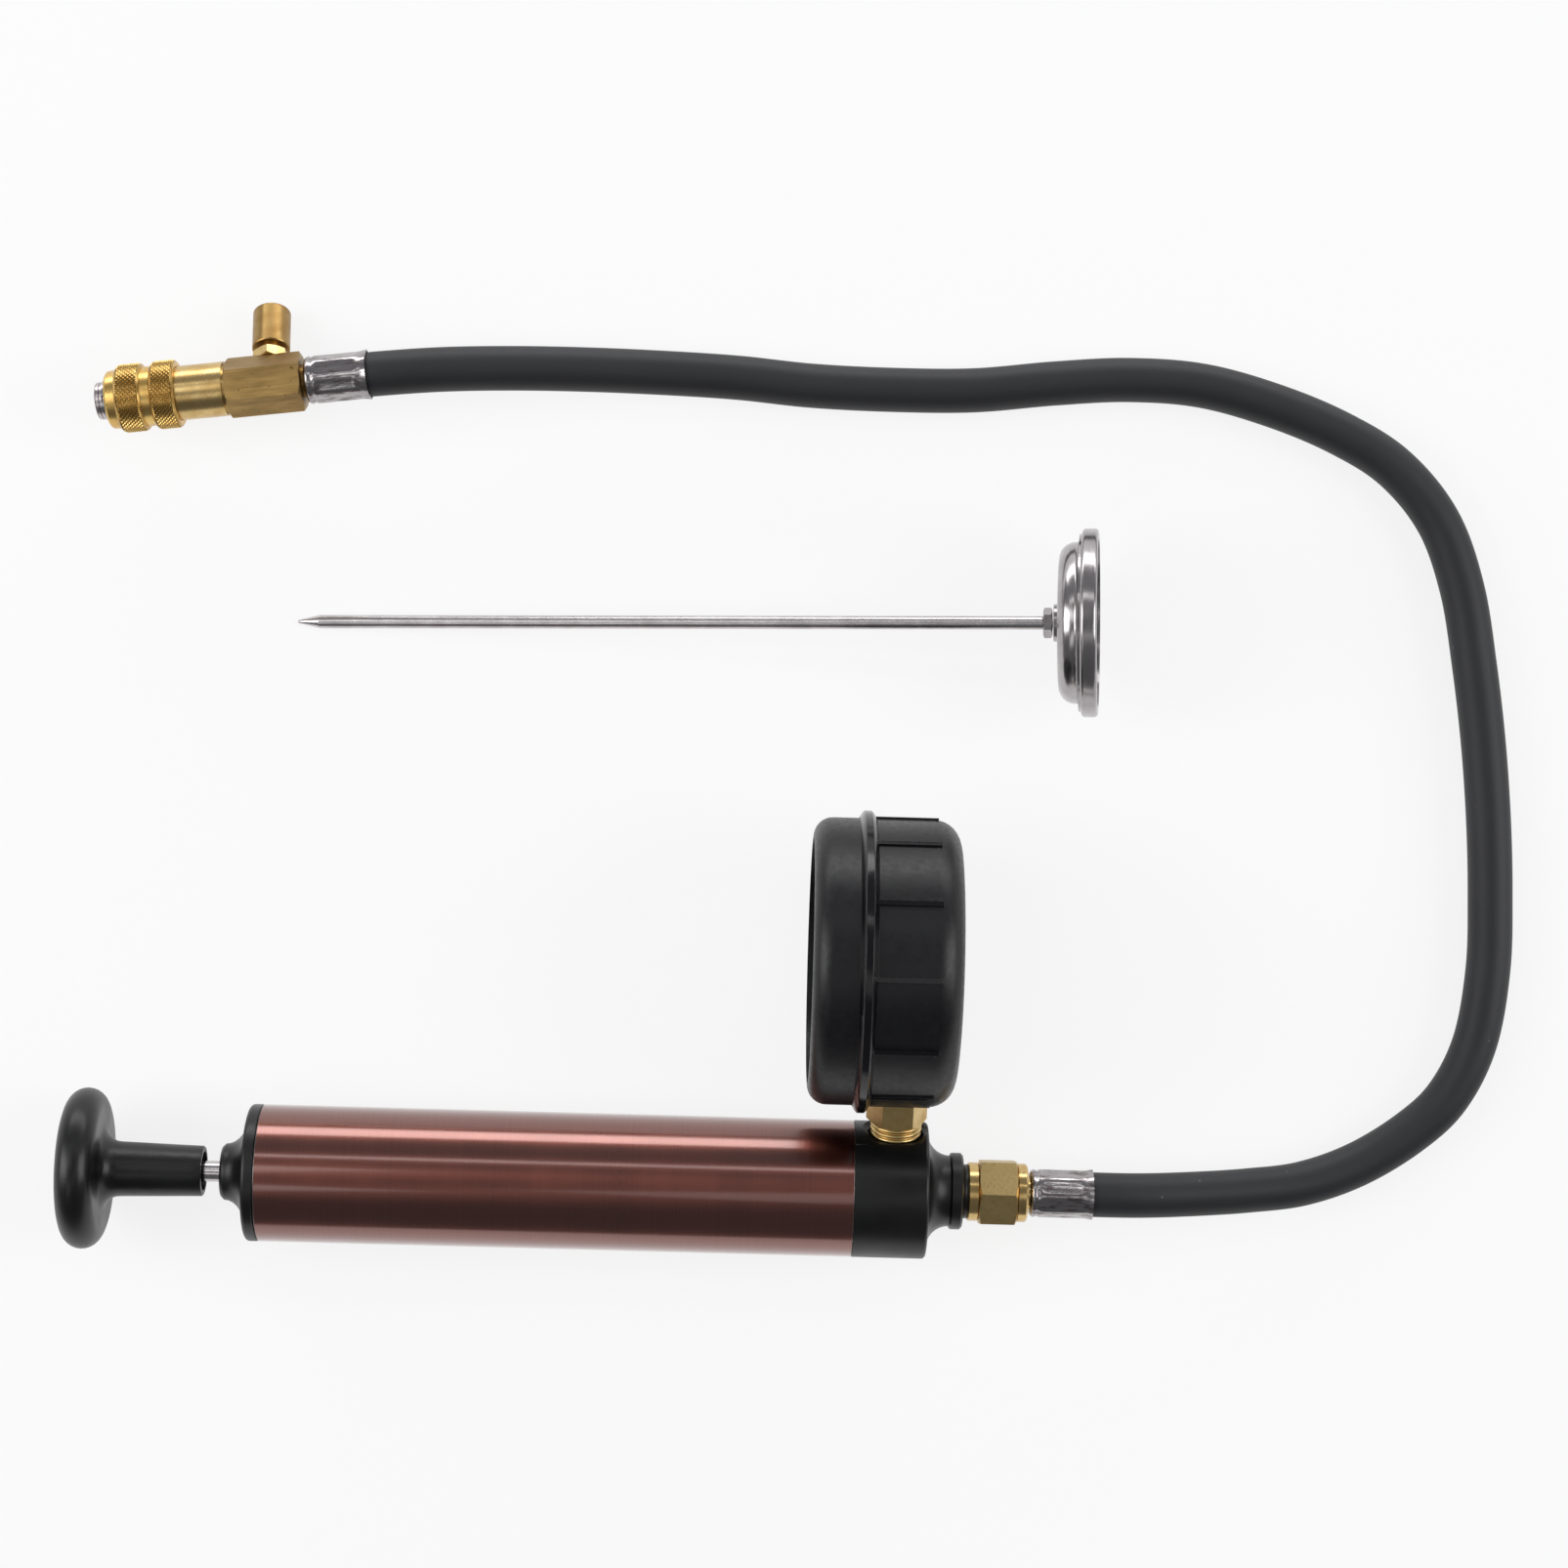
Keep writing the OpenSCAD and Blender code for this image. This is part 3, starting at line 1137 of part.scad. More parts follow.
module thermo_coil() {
    color("#b08050") thermo_frame()
        coil_x((spindle_r + stem_neck_r - 0.4) / 2, 0.2,
            thermo_coil_start, thermo_coil_start + thermo_coil_len, 14, 4, 8);
}

barrel();
rear_cap();
rod_guide();
front_head();
head_seal();
check_ball();
check_spring();
outlet_fitting();
pump_ferrule();
knob();
pump_rod();
piston();
piston_cup();
piston_washer();
piston_nut();
gauge_boot();
gauge_case();
gauge_bezel();
gauge_lens();
gauge_dial();
gauge_socket();
bourdon_tube();
gauge_link();
movement_plates();
sector_gear();
pointer_arbor();
gauge_pointer();
hose();
coupler_ferrule();
valve_body();
relief_seat();
relief_cap();
relief_pin();
relief_spring();
coupler_body();
coupler_sleeve();
sleeve_spring();
lock_balls();
sleeve_ring();
socket_seal();
coupler_poppet();
poppet_spring();
thermo_stem();
thermo_nut();
thermo_collar();
thermo_case();
thermo_bezel();
thermo_lens();
thermo_dial();
thermo_pointer();
thermo_spindle();
thermo_coil();
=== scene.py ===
# Radiator pressure tester, laid out flat: hand pump with a gauge, hose with a quick coupler,
# and a dial thermometer. Sizes in the comments are millimetres; Blender works in metres.
import json
import math

import bmesh
import bpy
from mathutils import Matrix, Vector


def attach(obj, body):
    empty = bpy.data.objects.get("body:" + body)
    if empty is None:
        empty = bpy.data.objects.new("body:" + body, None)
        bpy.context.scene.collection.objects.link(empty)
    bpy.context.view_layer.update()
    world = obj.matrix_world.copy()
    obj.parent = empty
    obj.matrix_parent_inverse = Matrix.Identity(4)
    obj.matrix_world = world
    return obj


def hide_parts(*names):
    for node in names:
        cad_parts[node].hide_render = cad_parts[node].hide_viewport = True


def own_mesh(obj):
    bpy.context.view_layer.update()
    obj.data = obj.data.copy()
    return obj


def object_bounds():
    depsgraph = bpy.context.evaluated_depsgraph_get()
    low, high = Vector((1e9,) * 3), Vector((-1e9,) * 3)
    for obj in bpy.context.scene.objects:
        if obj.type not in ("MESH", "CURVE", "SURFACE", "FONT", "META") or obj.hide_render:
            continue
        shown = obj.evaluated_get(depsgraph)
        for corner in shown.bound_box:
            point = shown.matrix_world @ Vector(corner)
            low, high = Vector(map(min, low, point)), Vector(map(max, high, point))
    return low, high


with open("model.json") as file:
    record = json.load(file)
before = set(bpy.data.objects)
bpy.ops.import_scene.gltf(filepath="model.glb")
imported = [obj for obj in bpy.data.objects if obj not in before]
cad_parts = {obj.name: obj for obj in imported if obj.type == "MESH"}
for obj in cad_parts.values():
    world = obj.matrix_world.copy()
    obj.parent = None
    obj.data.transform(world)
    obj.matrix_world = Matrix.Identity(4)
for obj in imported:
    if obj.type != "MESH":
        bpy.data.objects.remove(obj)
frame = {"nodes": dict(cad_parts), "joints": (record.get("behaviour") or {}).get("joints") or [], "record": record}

bl_info = {
    "name": "Radiator Pressure Tester",
    "version": (1, 0, 0),
    "blender": (4, 5, 0),
    "location": "View3D > Sidebar > Tester",
    "description": "Dresses the packed model of a radiator pressure tester for a studio picture",
    "category": "Object",
}

MM = 0.001
CAD_BOX = [list(corner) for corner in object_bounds()]
JOINTS = {joint["name"]: joint for joint in frame["joints"]}
MOUNTS = {mount["name"]: mount for mount in frame["record"]["mounts"]}


# ---- Frames of the groups of pieces, taken from the model's own joints and mounts ----
# Places along a group's X are in mm. They start at the barrel's end by the knob, at the lip of the
# coupler's ferrule, and at the point of the thermometer's stem. These two are the places of the
# mount coupler_socket and of the joint thermo_calibrate.
SOCKET_X = 67.35
CALIBRATE_X = 205


def axes_frame(origin, x_axis, z_hint):
    """A frame at origin whose X runs along x_axis and whose Z is as near z_hint as it can be."""
    x = Vector(x_axis).normalized()
    y = Vector(z_hint).cross(x).normalized()
    z = x.cross(y)
    return Matrix.Translation(origin) @ Matrix((x, y, z)).transposed().to_4x4()


PUMP = axes_frame(JOINTS["rod_spin"]["pos_m"], -Vector(JOINTS["rod_spin"]["axis"]), (0, 0, 1))
GAUGE_CENTRE = Vector(JOINTS["needle_spin"]["pos_m"])
GAUGE_UP = (GAUGE_CENTRE - Vector(JOINTS["sector_swing"]["pos_m"])).normalized()
GAUGE_FACE = Vector(JOINTS["needle_spin"]["axis"]).normalized()
GAUGE = axes_frame(GAUGE_CENTRE, GAUGE_UP.cross(GAUGE_FACE), GAUGE_FACE)
COUPLER_AXIS = Vector(MOUNTS["coupler_socket"]["axis"]).normalized()
COUPLER = axes_frame(
    Vector(MOUNTS["coupler_socket"]["pos_m"]) - SOCKET_X * MM * COUPLER_AXIS,
    COUPLER_AXIS, (0, 0, 1))
THERMO_AXIS = Vector(JOINTS["thermo_calibrate"]["axis"]).normalized()
THERMO = axes_frame(
    Vector(JOINTS["thermo_calibrate"]["pos_m"]) - CALIBRATE_X * MM * THERMO_AXIS,
    THERMO_AXIS, (0, 0, 1))


def linear(code):
    """Turn an sRGB hex colour such as #c8a24b into the linear values that Blender takes."""
    values = [int(code[i:i + 2], 16) / 255 for i in (1, 3, 5)]
    return [v / 12.92 if v <= 0.04045 else ((v + 0.055) / 1.055) ** 2.4 for v in values]


# ---- Sizes and colours that a user would change ----
class TesterSizes(bpy.types.PropertyGroup):
    """Sizes of the pieces that are modelled here"""

    hose_diameter: bpy.props.FloatProperty(
        name="Hose diameter", description="Outside diameter of the hose",
        default=0.012, min=0.004, max=0.03, subtype="DISTANCE", unit="LENGTH")
    knurl_height: bpy.props.FloatProperty(
        name="Knurl height", description="Height of the diamonds on the coupler's bands",
        default=0.00035, min=0.0, max=0.001, subtype="DISTANCE", unit="LENGTH")
    knurl_teeth: bpy.props.IntProperty(
        name="Knurl teeth", description="Diamonds round one band", default=46, min=12, max=90)
    numeral_height: bpy.props.FloatProperty(
        name="Numeral height", description="Height of the numbers on the gauge's dial",
        default=0.0052, min=0.001, max=0.01, subtype="DISTANCE", unit="LENGTH")


def colour(title, text, code):
    """A colour property whose default is written as sRGB hex."""
    return bpy.props.FloatVectorProperty(
        name=title, description=text, default=linear(code), size=3, min=0, max=1,
        subtype="COLOR")


class TesterColours(bpy.types.PropertyGroup):
    """Colours of the finishes"""

    barrel: colour("Barrel", "Dye of the anodised barrel", "#794338")
    plastic: colour("Black plastic", "Moulded knob, cap and head", "#0a0a0b")
    boot: colour("Gauge boot", "Moulded rubber round the gauge", "#07070b")
    hose: colour("Hose", "Rubber of the hose", "#1f2023")
    brass: colour("Brass", "Turned brass fittings", "#cdb27a")
    bright_brass: colour("Bright brass", "Knurled sleeve of the coupler", "#d8b56e")
    dull_brass: colour("Dull brass", "Milled hexagons", "#9c7f4f")
    steel: colour("Steel", "Polished and plated steel", "#cbc6c7")
    dial: colour("Dial", "White enamel of the dials", "#f2f1ec")
    ink: colour("Dial print", "Ticks and numbers", "#15161a")


# ---- Node and material helpers ----
def plug(tree, node, sockets):
    """Give each named socket of a node its value or its link."""
    for name, value in sockets.items():
        if isinstance(value, bpy.types.NodeSocket):
            tree.links.new(value, node.inputs[name])
        else:
            node.inputs[name].default_value = value


def add(tree, kind, sockets=None, stops=(), **settings):
    """Add a node with its settings, its sockets' values or links, and a colour ramp's stops."""
    node = tree.nodes.new(kind)
    for name, value in settings.items():
        setattr(node, name, value)
    plug(tree, node, sockets or {})
    if stops:
        band = node.color_ramp
        while len(band.elements) < len(stops):
            band.elements.new(0.5)
        for element, (place, tint) in zip(band.elements, stops):
            element.position = place
            element.color = (*tint, 1)
    return node


def finish_of(name, base, metallic, roughness, **shader_sockets):
    """A new material with its tree and shader, and the object's own coordinates in metres."""
    material = bpy.data.materials.new(name)
    material.use_nodes = True
    tree = material.node_tree
    shader = tree.nodes["Principled BSDF"]
    plug(tree, shader, {"Base Color": (*base, 1), "Metallic": metallic, "Roughness": roughness})
    for socket, value in shader_sockets.items():
        plug(tree, shader, {socket.replace("_", " "): value})
    place = add(tree, "ShaderNodeTexCoord").outputs["Object"]
    return material, tree, shader, place


def along(tree, place, group, scale):
    """Object coordinates turned into a group's own frame, in units that scale sets per metre."""
    back = group.inverted()
    turn = add(tree, "ShaderNodeMapping", {
        "Vector": place, "Location": back.to_translation(),
        "Rotation": back.to_euler()}).outputs["Vector"]
    return add(tree, "ShaderNodeMapping", {"Vector": turn, "Scale": scale}).outputs["Vector"]


def shades(base, *factors):
    """Darker and lighter versions of one colour."""
    return [[min(1.0, part * factor) for part in base] for factor in factors]


def grey(level):
    """A grey as a colour."""
    return (level, level, level)


# ---- Finishes ----
PER_MM = (1 / MM, 1 / MM, 1 / MM)
# A pixel of the picture covers about 0.27 mm. On the real pieces the marks of turning, grinding
# and spinning are about 0.1 mm apart, too fine to show, so they are drawn as coarse as they need.
# Their numbers per metre:
BARREL_RINGS = 1 / (0.22 * MM)
BRASS_RINGS = 1 / (0.18 * MM)
GROUND_LINES = 1 / (0.3 * MM)
SPUN_LINES = 1 / (0.25 * MM)
# The barrel's middle along the pump and half of its dyed length, in mm.
BARREL_MIDDLE = 79.0
DYED_HALF = 78.72
# The boot's radius between its ribs, in mm.
BOOT_R = 37.5
# Radians of a sine wave per mm along the coupler's steel nose, a line every 0.95 mm.
NOSE_WAVES = 6.6


def anodised_aluminium(colours):
    """Turned and dyed tube: long streaks of light, fine rings, a clear skin, bare cut ends."""
    material, tree, shader, place = finish_of(
        "anodised aluminium, turned", colours.barrel, 1.0, 0.27, Anisotropic=0.7,
        Anisotropic_Rotation=0.25, Coat_Weight=1.0, Coat_Roughness=0.12, Coat_IOR=1.7)
    turned = add(tree, "ShaderNodeTangent", direction_type="RADIAL", axis="X")
    lines = add(tree, "ShaderNodeTexNoise", {
        "Vector": along(tree, place, PUMP, (BARREL_RINGS, 8, 8)),
        "Scale": 1.0, "Detail": 4.0, "Roughness": 0.6}).outputs["Fac"]
    wide = add(tree, "ShaderNodeTexNoise", {
        "Vector": along(tree, place, PUMP, (1 / (9 * MM), 20, 20)),
        "Scale": 1.0, "Detail": 2.0}).outputs["Fac"]
    low, high = shades(colours.barrel, 0.88, 1.1)
    tint = add(tree, "ShaderNodeValToRGB", {"Fac": lines}, [(0.3, low), (0.7, high)])
    # The tube's last 0.3 mm at each end is cut metal without dye.
    u = add(tree, "ShaderNodeSeparateXYZ", {
        "Vector": along(tree, place, PUMP, PER_MM)}).outputs["X"]
    off = add(tree, "ShaderNodeMath", {0: u, 1: BARREL_MIDDLE}, operation="SUBTRACT").outputs[0]
    away = add(tree, "ShaderNodeMath", {0: off}, operation="ABSOLUTE").outputs[0]
    bare = add(tree, "ShaderNodeMath", {0: away, 1: DYED_HALF},
               operation="GREATER_THAN").outputs[0]
    body = add(tree, "ShaderNodeMix", {
        "Factor": bare, "A": tint.outputs["Color"], "B": (*linear("#d9d6d2"), 1)},
        data_type="RGBA").outputs["Result"]
    rough = add(tree, "ShaderNodeMapRange", {
        "Value": wide, "From Min": 0.3, "From Max": 0.7, "To Min": 0.27, "To Max": 0.33})
    relief = add(tree, "ShaderNodeBump", {
        "Height": lines, "Distance": 0.004 * MM, "Strength": 1.0})
    plug(tree, shader, {
        "Base Color": body, "Roughness": rough.outputs["Result"],
        "Normal": relief.outputs["Normal"], "Tangent": turned.outputs["Tangent"]})
    return material


def moulded_plastic(colours):
    """Glass-filled nylon from a satin mould: dark, with a soft sheen and a fine even grain."""
    material, tree, shader, place = finish_of(
        "glass-filled nylon, moulded", colours.plastic, 0.0, 0.34, IOR=1.46)
    grain = add(tree, "ShaderNodeTexNoise", {
        "Vector": place, "Scale": 1 / (0.35 * MM), "Detail": 3.0}).outputs["Fac"]
    flow = add(tree, "ShaderNodeTexNoise", {
        "Vector": place, "Scale": 1 / (14 * MM), "Detail": 2.0}).outputs["Fac"]
    rough = add(tree, "ShaderNodeMapRange", {
        "Value": flow, "From Min": 0.3, "From Max": 0.7, "To Min": 0.28, "To Max": 0.42})
    low, high = shades(colours.plastic, 0.8, 1.35)
    tint = add(tree, "ShaderNodeValToRGB", {"Fac": flow}, [(0.3, low), (0.7, high)])
    relief = add(tree, "ShaderNodeBump", {
        "Height": grain, "Distance": 0.02 * MM, "Strength": 0.5})
    plug(tree, shader, {
        "Base Color": tint.outputs["Color"], "Roughness": rough.outputs["Result"],
        "Normal": relief.outputs["Normal"]})
    return material


def boot_rubber(colours):
    """Moulded PVC boot: matt, a little dusty, with slow dents where it is stretched."""
    material, tree, shader, place = finish_of(
        "soft PVC, moulded", colours.boot, 0.0, 0.38, IOR=1.45)
    grain = add(tree, "ShaderNodeTexNoise", {
        "Vector": place, "Scale": 1 / (0.5 * MM), "Detail": 4.0}).outputs["Fac"]
    slow = add(tree, "ShaderNodeTexNoise", {
        "Vector": place, "Scale": 1 / (16 * MM), "Detail": 3.0}).outputs["Fac"]
    dust = add(tree, "ShaderNodeTexNoise", {
        "Vector": place, "Scale": 1 / (1.2 * MM), "Detail": 2.0}).outputs["Fac"]
    low, high = shades(colours.boot, 0.75, 1.5)
    tint = add(tree, "ShaderNodeValToRGB", {"Fac": slow}, [(0.3, low), (0.75, high)])
    rough = add(tree, "ShaderNodeMapRange", {
        "Value": dust, "From Min": 0.3, "From Max": 0.7, "To Min": 0.34, "To Max": 0.46})
    # The ribs and the ridge stand out and are rubbed shiny.
    radius = add(tree, "ShaderNodeVectorMath", {
        0: along(tree, place, GAUGE, (1 / MM, 1 / MM, 0))}, operation="LENGTH").outputs["Value"]
    rubbed = add(tree, "ShaderNodeMapRange", {
        "Value": radius, "From Min": BOOT_R + 0.1, "From Max": BOOT_R + 0.5,
        "To Min": 1.0, "To Max": 0.4}).outputs["Result"]
    shiny = add(tree, "ShaderNodeMath", {0: rough.outputs["Result"], 1: rubbed},
                operation="MULTIPLY")
    height = add(tree, "ShaderNodeMath", {0: grain, 1: 0.05, 2: slow}, operation="MULTIPLY_ADD")
    relief = add(tree, "ShaderNodeBump", {
        "Height": height.outputs[0], "Distance": 0.35 * MM, "Strength": 0.6})
    plug(tree, shader, {
        "Base Color": tint.outputs["Color"], "Roughness": shiny.outputs[0],
        "Normal": relief.outputs["Normal"]})
    return material


def hose_rubber(colours):
    """Extruded EPDM hose: blue-grey black, matt, with slow changes and specks of dust."""
    material, tree, shader, place = finish_of(
        "EPDM rubber, extruded", colours.hose, 0.0, 0.55, IOR=1.5)
    slow = add(tree, "ShaderNodeTexNoise", {
        "Vector": place, "Scale": 1 / (22 * MM), "Detail": 3.0}).outputs["Fac"]
    grain = add(tree, "ShaderNodeTexNoise", {
        "Vector": place, "Scale": 1 / (0.6 * MM), "Detail": 4.0}).outputs["Fac"]
    low, high = shades(colours.hose, 0.86, 1.12)
    tint = add(tree, "ShaderNodeValToRGB", {"Fac": slow}, [(0.3, low), (0.7, high)])
    specks = add(tree, "ShaderNodeTexVoronoi", {
        "Vector": place, "Scale": 1 / (9 * MM)}, feature="F1").outputs["Distance"]
    dust = add(tree, "ShaderNodeMath", {0: specks, 1: 0.035}, operation="LESS_THAN").outputs[0]
    faint = add(tree, "ShaderNodeMath", {0: dust, 1: 0.25}, operation="MULTIPLY").outputs[0]
    dusty = add(tree, "ShaderNodeMix", {
        "Factor": faint, "A": tint.outputs["Color"], "B": (*linear("#8a8a88"), 1)},
        data_type="RGBA")
    relief = add(tree, "ShaderNodeBump", {
        "Height": grain, "Distance": 0.03 * MM, "Strength": 0.5})
    plug(tree, shader, {
        "Base Color": dusty.outputs["Result"], "Normal": relief.outputs["Normal"]})
    return material


def turned_brass(name, base, group, roughness, flats=None, steel_from=None, shade_under=None):
    """Brass off the lathe: rings round its axis, a slow change to a browner gold, dull flats."""
    material, tree, shader, place = finish_of(name, base, 1.0, roughness)
    lines = add(tree, "ShaderNodeTexNoise", {
        "Vector": along(tree, place, group, (BRASS_RINGS, 40, 40)),
        "Scale": 1.0, "Detail": 3.0}).outputs["Fac"]
    slow = add(tree, "ShaderNodeTexNoise", {
        "Vector": place, "Scale": 1 / (3.5 * MM), "Detail": 3.0}).outputs["Fac"]
    low, high = shades(base, 0.84, 1.08)
    low = [low[0] * 1.04, low[1] * 0.93, low[2] * 0.8]
    body = add(tree, "ShaderNodeValToRGB", {"Fac": slow}, [
        (0.3, low), (0.62, high)]).outputs["Color"]
    rough = add(tree, "ShaderNodeMapRange", {
        "Value": slow, "From Min": 0.3, "From Max": 0.7,
        "To Min": roughness * 1.15, "To Max": roughness * 0.9}).outputs["Result"]
    if flats:
        # The hexagon keeps the skin of the drawn bar, between these two places in mm.
        u = add(tree, "ShaderNodeSeparateXYZ", {
            "Vector": along(tree, place, group, PER_MM)}).outputs["X"]
        on_bar = add(tree, "ShaderNodeMath", {
            0: u, 1: sum(flats) / 2, 2: (flats[1] - flats[0]) / 2},
            operation="COMPARE").outputs[0]
        marks = add(tree, "ShaderNodeTexNoise", {
            "Vector": place, "Scale": 1 / (0.8 * MM), "Detail": 4.0, "Roughness": 0.6})
        dark, dull, bright_tone = shades(base, 0.4, 0.84, 0.95)
        skin = add(tree, "ShaderNodeValToRGB", {"Fac": marks.outputs["Fac"]}, [
            (0.26, dark), (0.4, dull), (0.7, bright_tone)]).outputs["Color"]
        body = add(tree, "ShaderNodeMix", {"Factor": on_bar, "A": body, "B": skin},
                   data_type="RGBA").outputs["Result"]
        rough = add(tree, "ShaderNodeMath", {0: on_bar, 1: 0.2, 2: rough},
                    operation="MULTIPLY_ADD").outputs[0]
    if steel_from:
        # The tip of the nose, from this place in mm, is a ring of bare steel with turned lines.
        u = add(tree, "ShaderNodeSeparateXYZ", {
            "Vector": along(tree, place, group, PER_MM)}).outputs["X"]
        on_tip = add(tree, "ShaderNodeMath", {0: u, 1: steel_from},
                     operation="GREATER_THAN").outputs[0]
        turns = add(tree, "ShaderNodeMath", {0: u, 1: NOSE_WAVES},
                    operation="MULTIPLY").outputs[0]
        wave = add(tree, "ShaderNodeMath", {0: turns}, operation="SINE").outputs[0]
        steel = add(tree, "ShaderNodeValToRGB", {"Fac": wave}, [
            (0.0, linear("#c9bfc0")), (0.75, linear("#aca2a4")),
            (0.95, linear("#4d4648"))]).outputs["Color"]
        body = add(tree, "ShaderNodeMix", {"Factor": on_tip, "A": body, "B": steel},
                   data_type="RGBA").outputs["Result"]
    if shade_under:
        # Painted shade: dark brown sits between the diamonds, on the points nearer the axis than this, but not on
        # the smooth steps, which lie lower than any diamond.
        across = add(tree, "ShaderNodeVectorMath", {
            0: along(tree, place, group, PER_MM), 1: (0, 1, 1)},
            operation="MULTIPLY").outputs["Vector"]
        radius = add(tree, "ShaderNodeVectorMath", {0: across},
                     operation="LENGTH").outputs["Value"]
        bright_tone = add(tree, "ShaderNodeMapRange", {
            "Value": radius, "From Min": shade_under - 0.38, "From Max": shade_under,
            "To Min": 0.4, "To Max": 1.0}).outputs["Result"]
        smooth = add(tree, "ShaderNodeMath", {0: radius, 1: shade_under - 0.42},
                     operation="LESS_THAN").outputs[0]
        share = add(tree, "ShaderNodeMath", {0: bright_tone, 1: smooth},
                    operation="MAXIMUM").outputs[0]
        # Painted shade colour in the hollows between the diamonds.
        body = add(tree, "ShaderNodeMix", {
            "Factor": share, "A": (*linear("#3a2408"), 1), "B": body},
            data_type="RGBA").outputs["Result"]
    relief = add(tree, "ShaderNodeBump", {
        "Height": lines, "Distance": 0.006 * MM, "Strength": 0.7})
    plug(tree, shader, {
        "Base Color": body, "Roughness": rough, "Normal": relief.outputs["Normal"]})
    return material


def drawn_brass(colours):
    """Hexagon bar as it was drawn: olive, satin, with lines along it, pits and handling marks."""
    material, tree, shader, place = finish_of(
        "brass, drawn hexagon bar", colours.dull_brass, 1.0, 0.36)
    lines = add(tree, "ShaderNodeTexNoise", {
        "Vector": along(tree, place, COUPLER, (60, GROUND_LINES, GROUND_LINES)),
        "Scale": 1.0, "Detail": 4.0}).outputs["Fac"]
    slow = add(tree, "ShaderNodeTexNoise", {
        "Vector": along(tree, place, COUPLER, (90, 1 / (3 * MM), 1 / (3 * MM))),
        "Scale": 1.0, "Detail": 4.0, "Roughness": 0.6}).outputs["Fac"]
    pits = add(tree, "ShaderNodeTexNoise", {
        "Vector": place, "Scale": 1 / (1.1 * MM), "Detail": 2.0}).outputs["Fac"]
    low, high = shades(colours.dull_brass, 0.74, 1.08)
    body = add(tree, "ShaderNodeValToRGB", {"Fac": slow}, [
        (0.3, low), (0.62, high)]).outputs["Color"]
    scratched = add(tree, "ShaderNodeValToRGB", {"Fac": lines}, [(0.3, grey(0.8)), (0.6, grey(1))])
    marked = add(tree, "ShaderNodeValToRGB", {"Fac": pits}, [(0.24, grey(0.35)), (0.3, grey(1))])
    for layer in (scratched, marked):
        body = add(tree, "ShaderNodeMix", {
            "Factor": 1.0, "A": body, "B": layer.outputs["Color"]},
            data_type="RGBA", blend_type="MULTIPLY").outputs["Result"]
    rough = add(tree, "ShaderNodeMapRange", {
        "Value": slow, "From Min": 0.3, "From Max": 0.7, "To Min": 0.44, "To Max": 0.3})
    relief = add(tree, "ShaderNodeBump", {
        "Height": lines, "Distance": 0.008 * MM, "Strength": 0.7})
    plug(tree, shader, {
        "Base Color": body, "Roughness": rough.outputs["Result"],
        "Normal": relief.outputs["Normal"]})
    return material


def ground_steel(name, base, group, roughness, line_scale):
    """Stainless steel with fine grinding lines, which pull the light into streaks."""
    material, tree, shader, place = finish_of(name, base, 1.0, roughness)
    lines = add(tree, "ShaderNodeTexNoise", {
        "Vector": along(tree, place, group, line_scale), "Scale": 1.0, "Detail": 3.0})
    slow = add(tree, "ShaderNodeTexNoise", {
        "Vector": place, "Scale": 1 / (5 * MM), "Detail": 2.0})
    low, high = shades(base, 0.85, 1.08)
    tint = add(tree, "ShaderNodeValToRGB", {"Fac": slow.outputs["Fac"]}, [
        (0.3, low), (0.7, high)])
    rough = add(tree, "ShaderNodeMapRange", {
        "Value": lines.outputs["Fac"], "From Min": 0.3, "From Max": 0.7,
        "To Min": roughness * 0.8, "To Max": roughness * 1.25})
    relief = add(tree, "ShaderNodeBump", {
        "Height": lines.outputs["Fac"], "Distance": 0.003 * MM, "Strength": 0.6})
    plug(tree, shader, {
        "Base Color": tint.outputs["Color"], "Roughness": rough.outputs["Result"],
        "Normal": relief.outputs["Normal"]})
    return material


def plated_steel(name, colours, group):
    """Crimped steel sleeve with bright zinc: sharp reflections, and painted reflections as dark pinkish and light
    streaks drawn out along the sleeve.
    """
    material, tree, shader, place = finish_of(name, colours.steel, 1.0, 0.14)
    dents = add(tree, "ShaderNodeTexNoise", {
        "Vector": along(tree, place, group, (1 / (9 * MM), 1 / (1.4 * MM), 1 / (1.4 * MM))),
        "Scale": 1.0, "Detail": 2.0}).outputs["Fac"]
    marks = add(tree, "ShaderNodeTexNoise", {
        "Vector": along(tree, place, group, (1 / (4 * MM), 1 / (1.1 * MM), 1 / (1.1 * MM))),
        "Scale": 1.0, "Detail": 4.0, "Roughness": 0.6}).outputs["Fac"]
    # Painted reflection: the colour streaks along the sleeve from a dark pinkish grey to a light grey, and the
    # roughness follows the same streaks.
    dark, light = shades(colours.steel, 0.27, 0.68)
    dark = [dark[0] * 1.08, dark[1] * 0.95, dark[2] * 0.97]
    tint = add(tree, "ShaderNodeValToRGB", {"Fac": marks}, [(0.36, dark), (0.5, light)])
    rough = add(tree, "ShaderNodeMapRange", {
        "Value": marks, "From Min": 0.3, "From Max": 0.6, "To Min": 0.34, "To Max": 0.12})
    relief = add(tree, "ShaderNodeBump", {
        "Height": dents, "Distance": 0.09 * MM, "Strength": 0.8})
    plug(tree, shader, {
        "Base Color": tint.outputs["Color"], "Roughness": rough.outputs["Result"],
        "Normal": relief.outputs["Normal"]})
    return material


def plain_finish(name, base, metallic, roughness, grain_mm, depth):
    """A finish that is even but for a fine grain, for enamel, nylon, ink and inner pieces."""
    material, tree, shader, place = finish_of(name, base, metallic, roughness)
    grain = add(tree, "ShaderNodeTexNoise", {
        "Vector": place, "Scale": 1 / (grain_mm * MM), "Detail": 3.0}).outputs["Fac"]
    low, high = shades(base, 0.93, 1.05)
    tint = add(tree, "ShaderNodeValToRGB", {"Fac": grain}, [(0.3, low), (0.7, high)])
    relief = add(tree, "ShaderNodeBump", {
        "Height": grain, "Distance": depth * MM, "Strength": 0.5})
    plug(tree, shader, {
        "Base Color": tint.outputs["Color"], "Normal": relief.outputs["Normal"]})
    return material


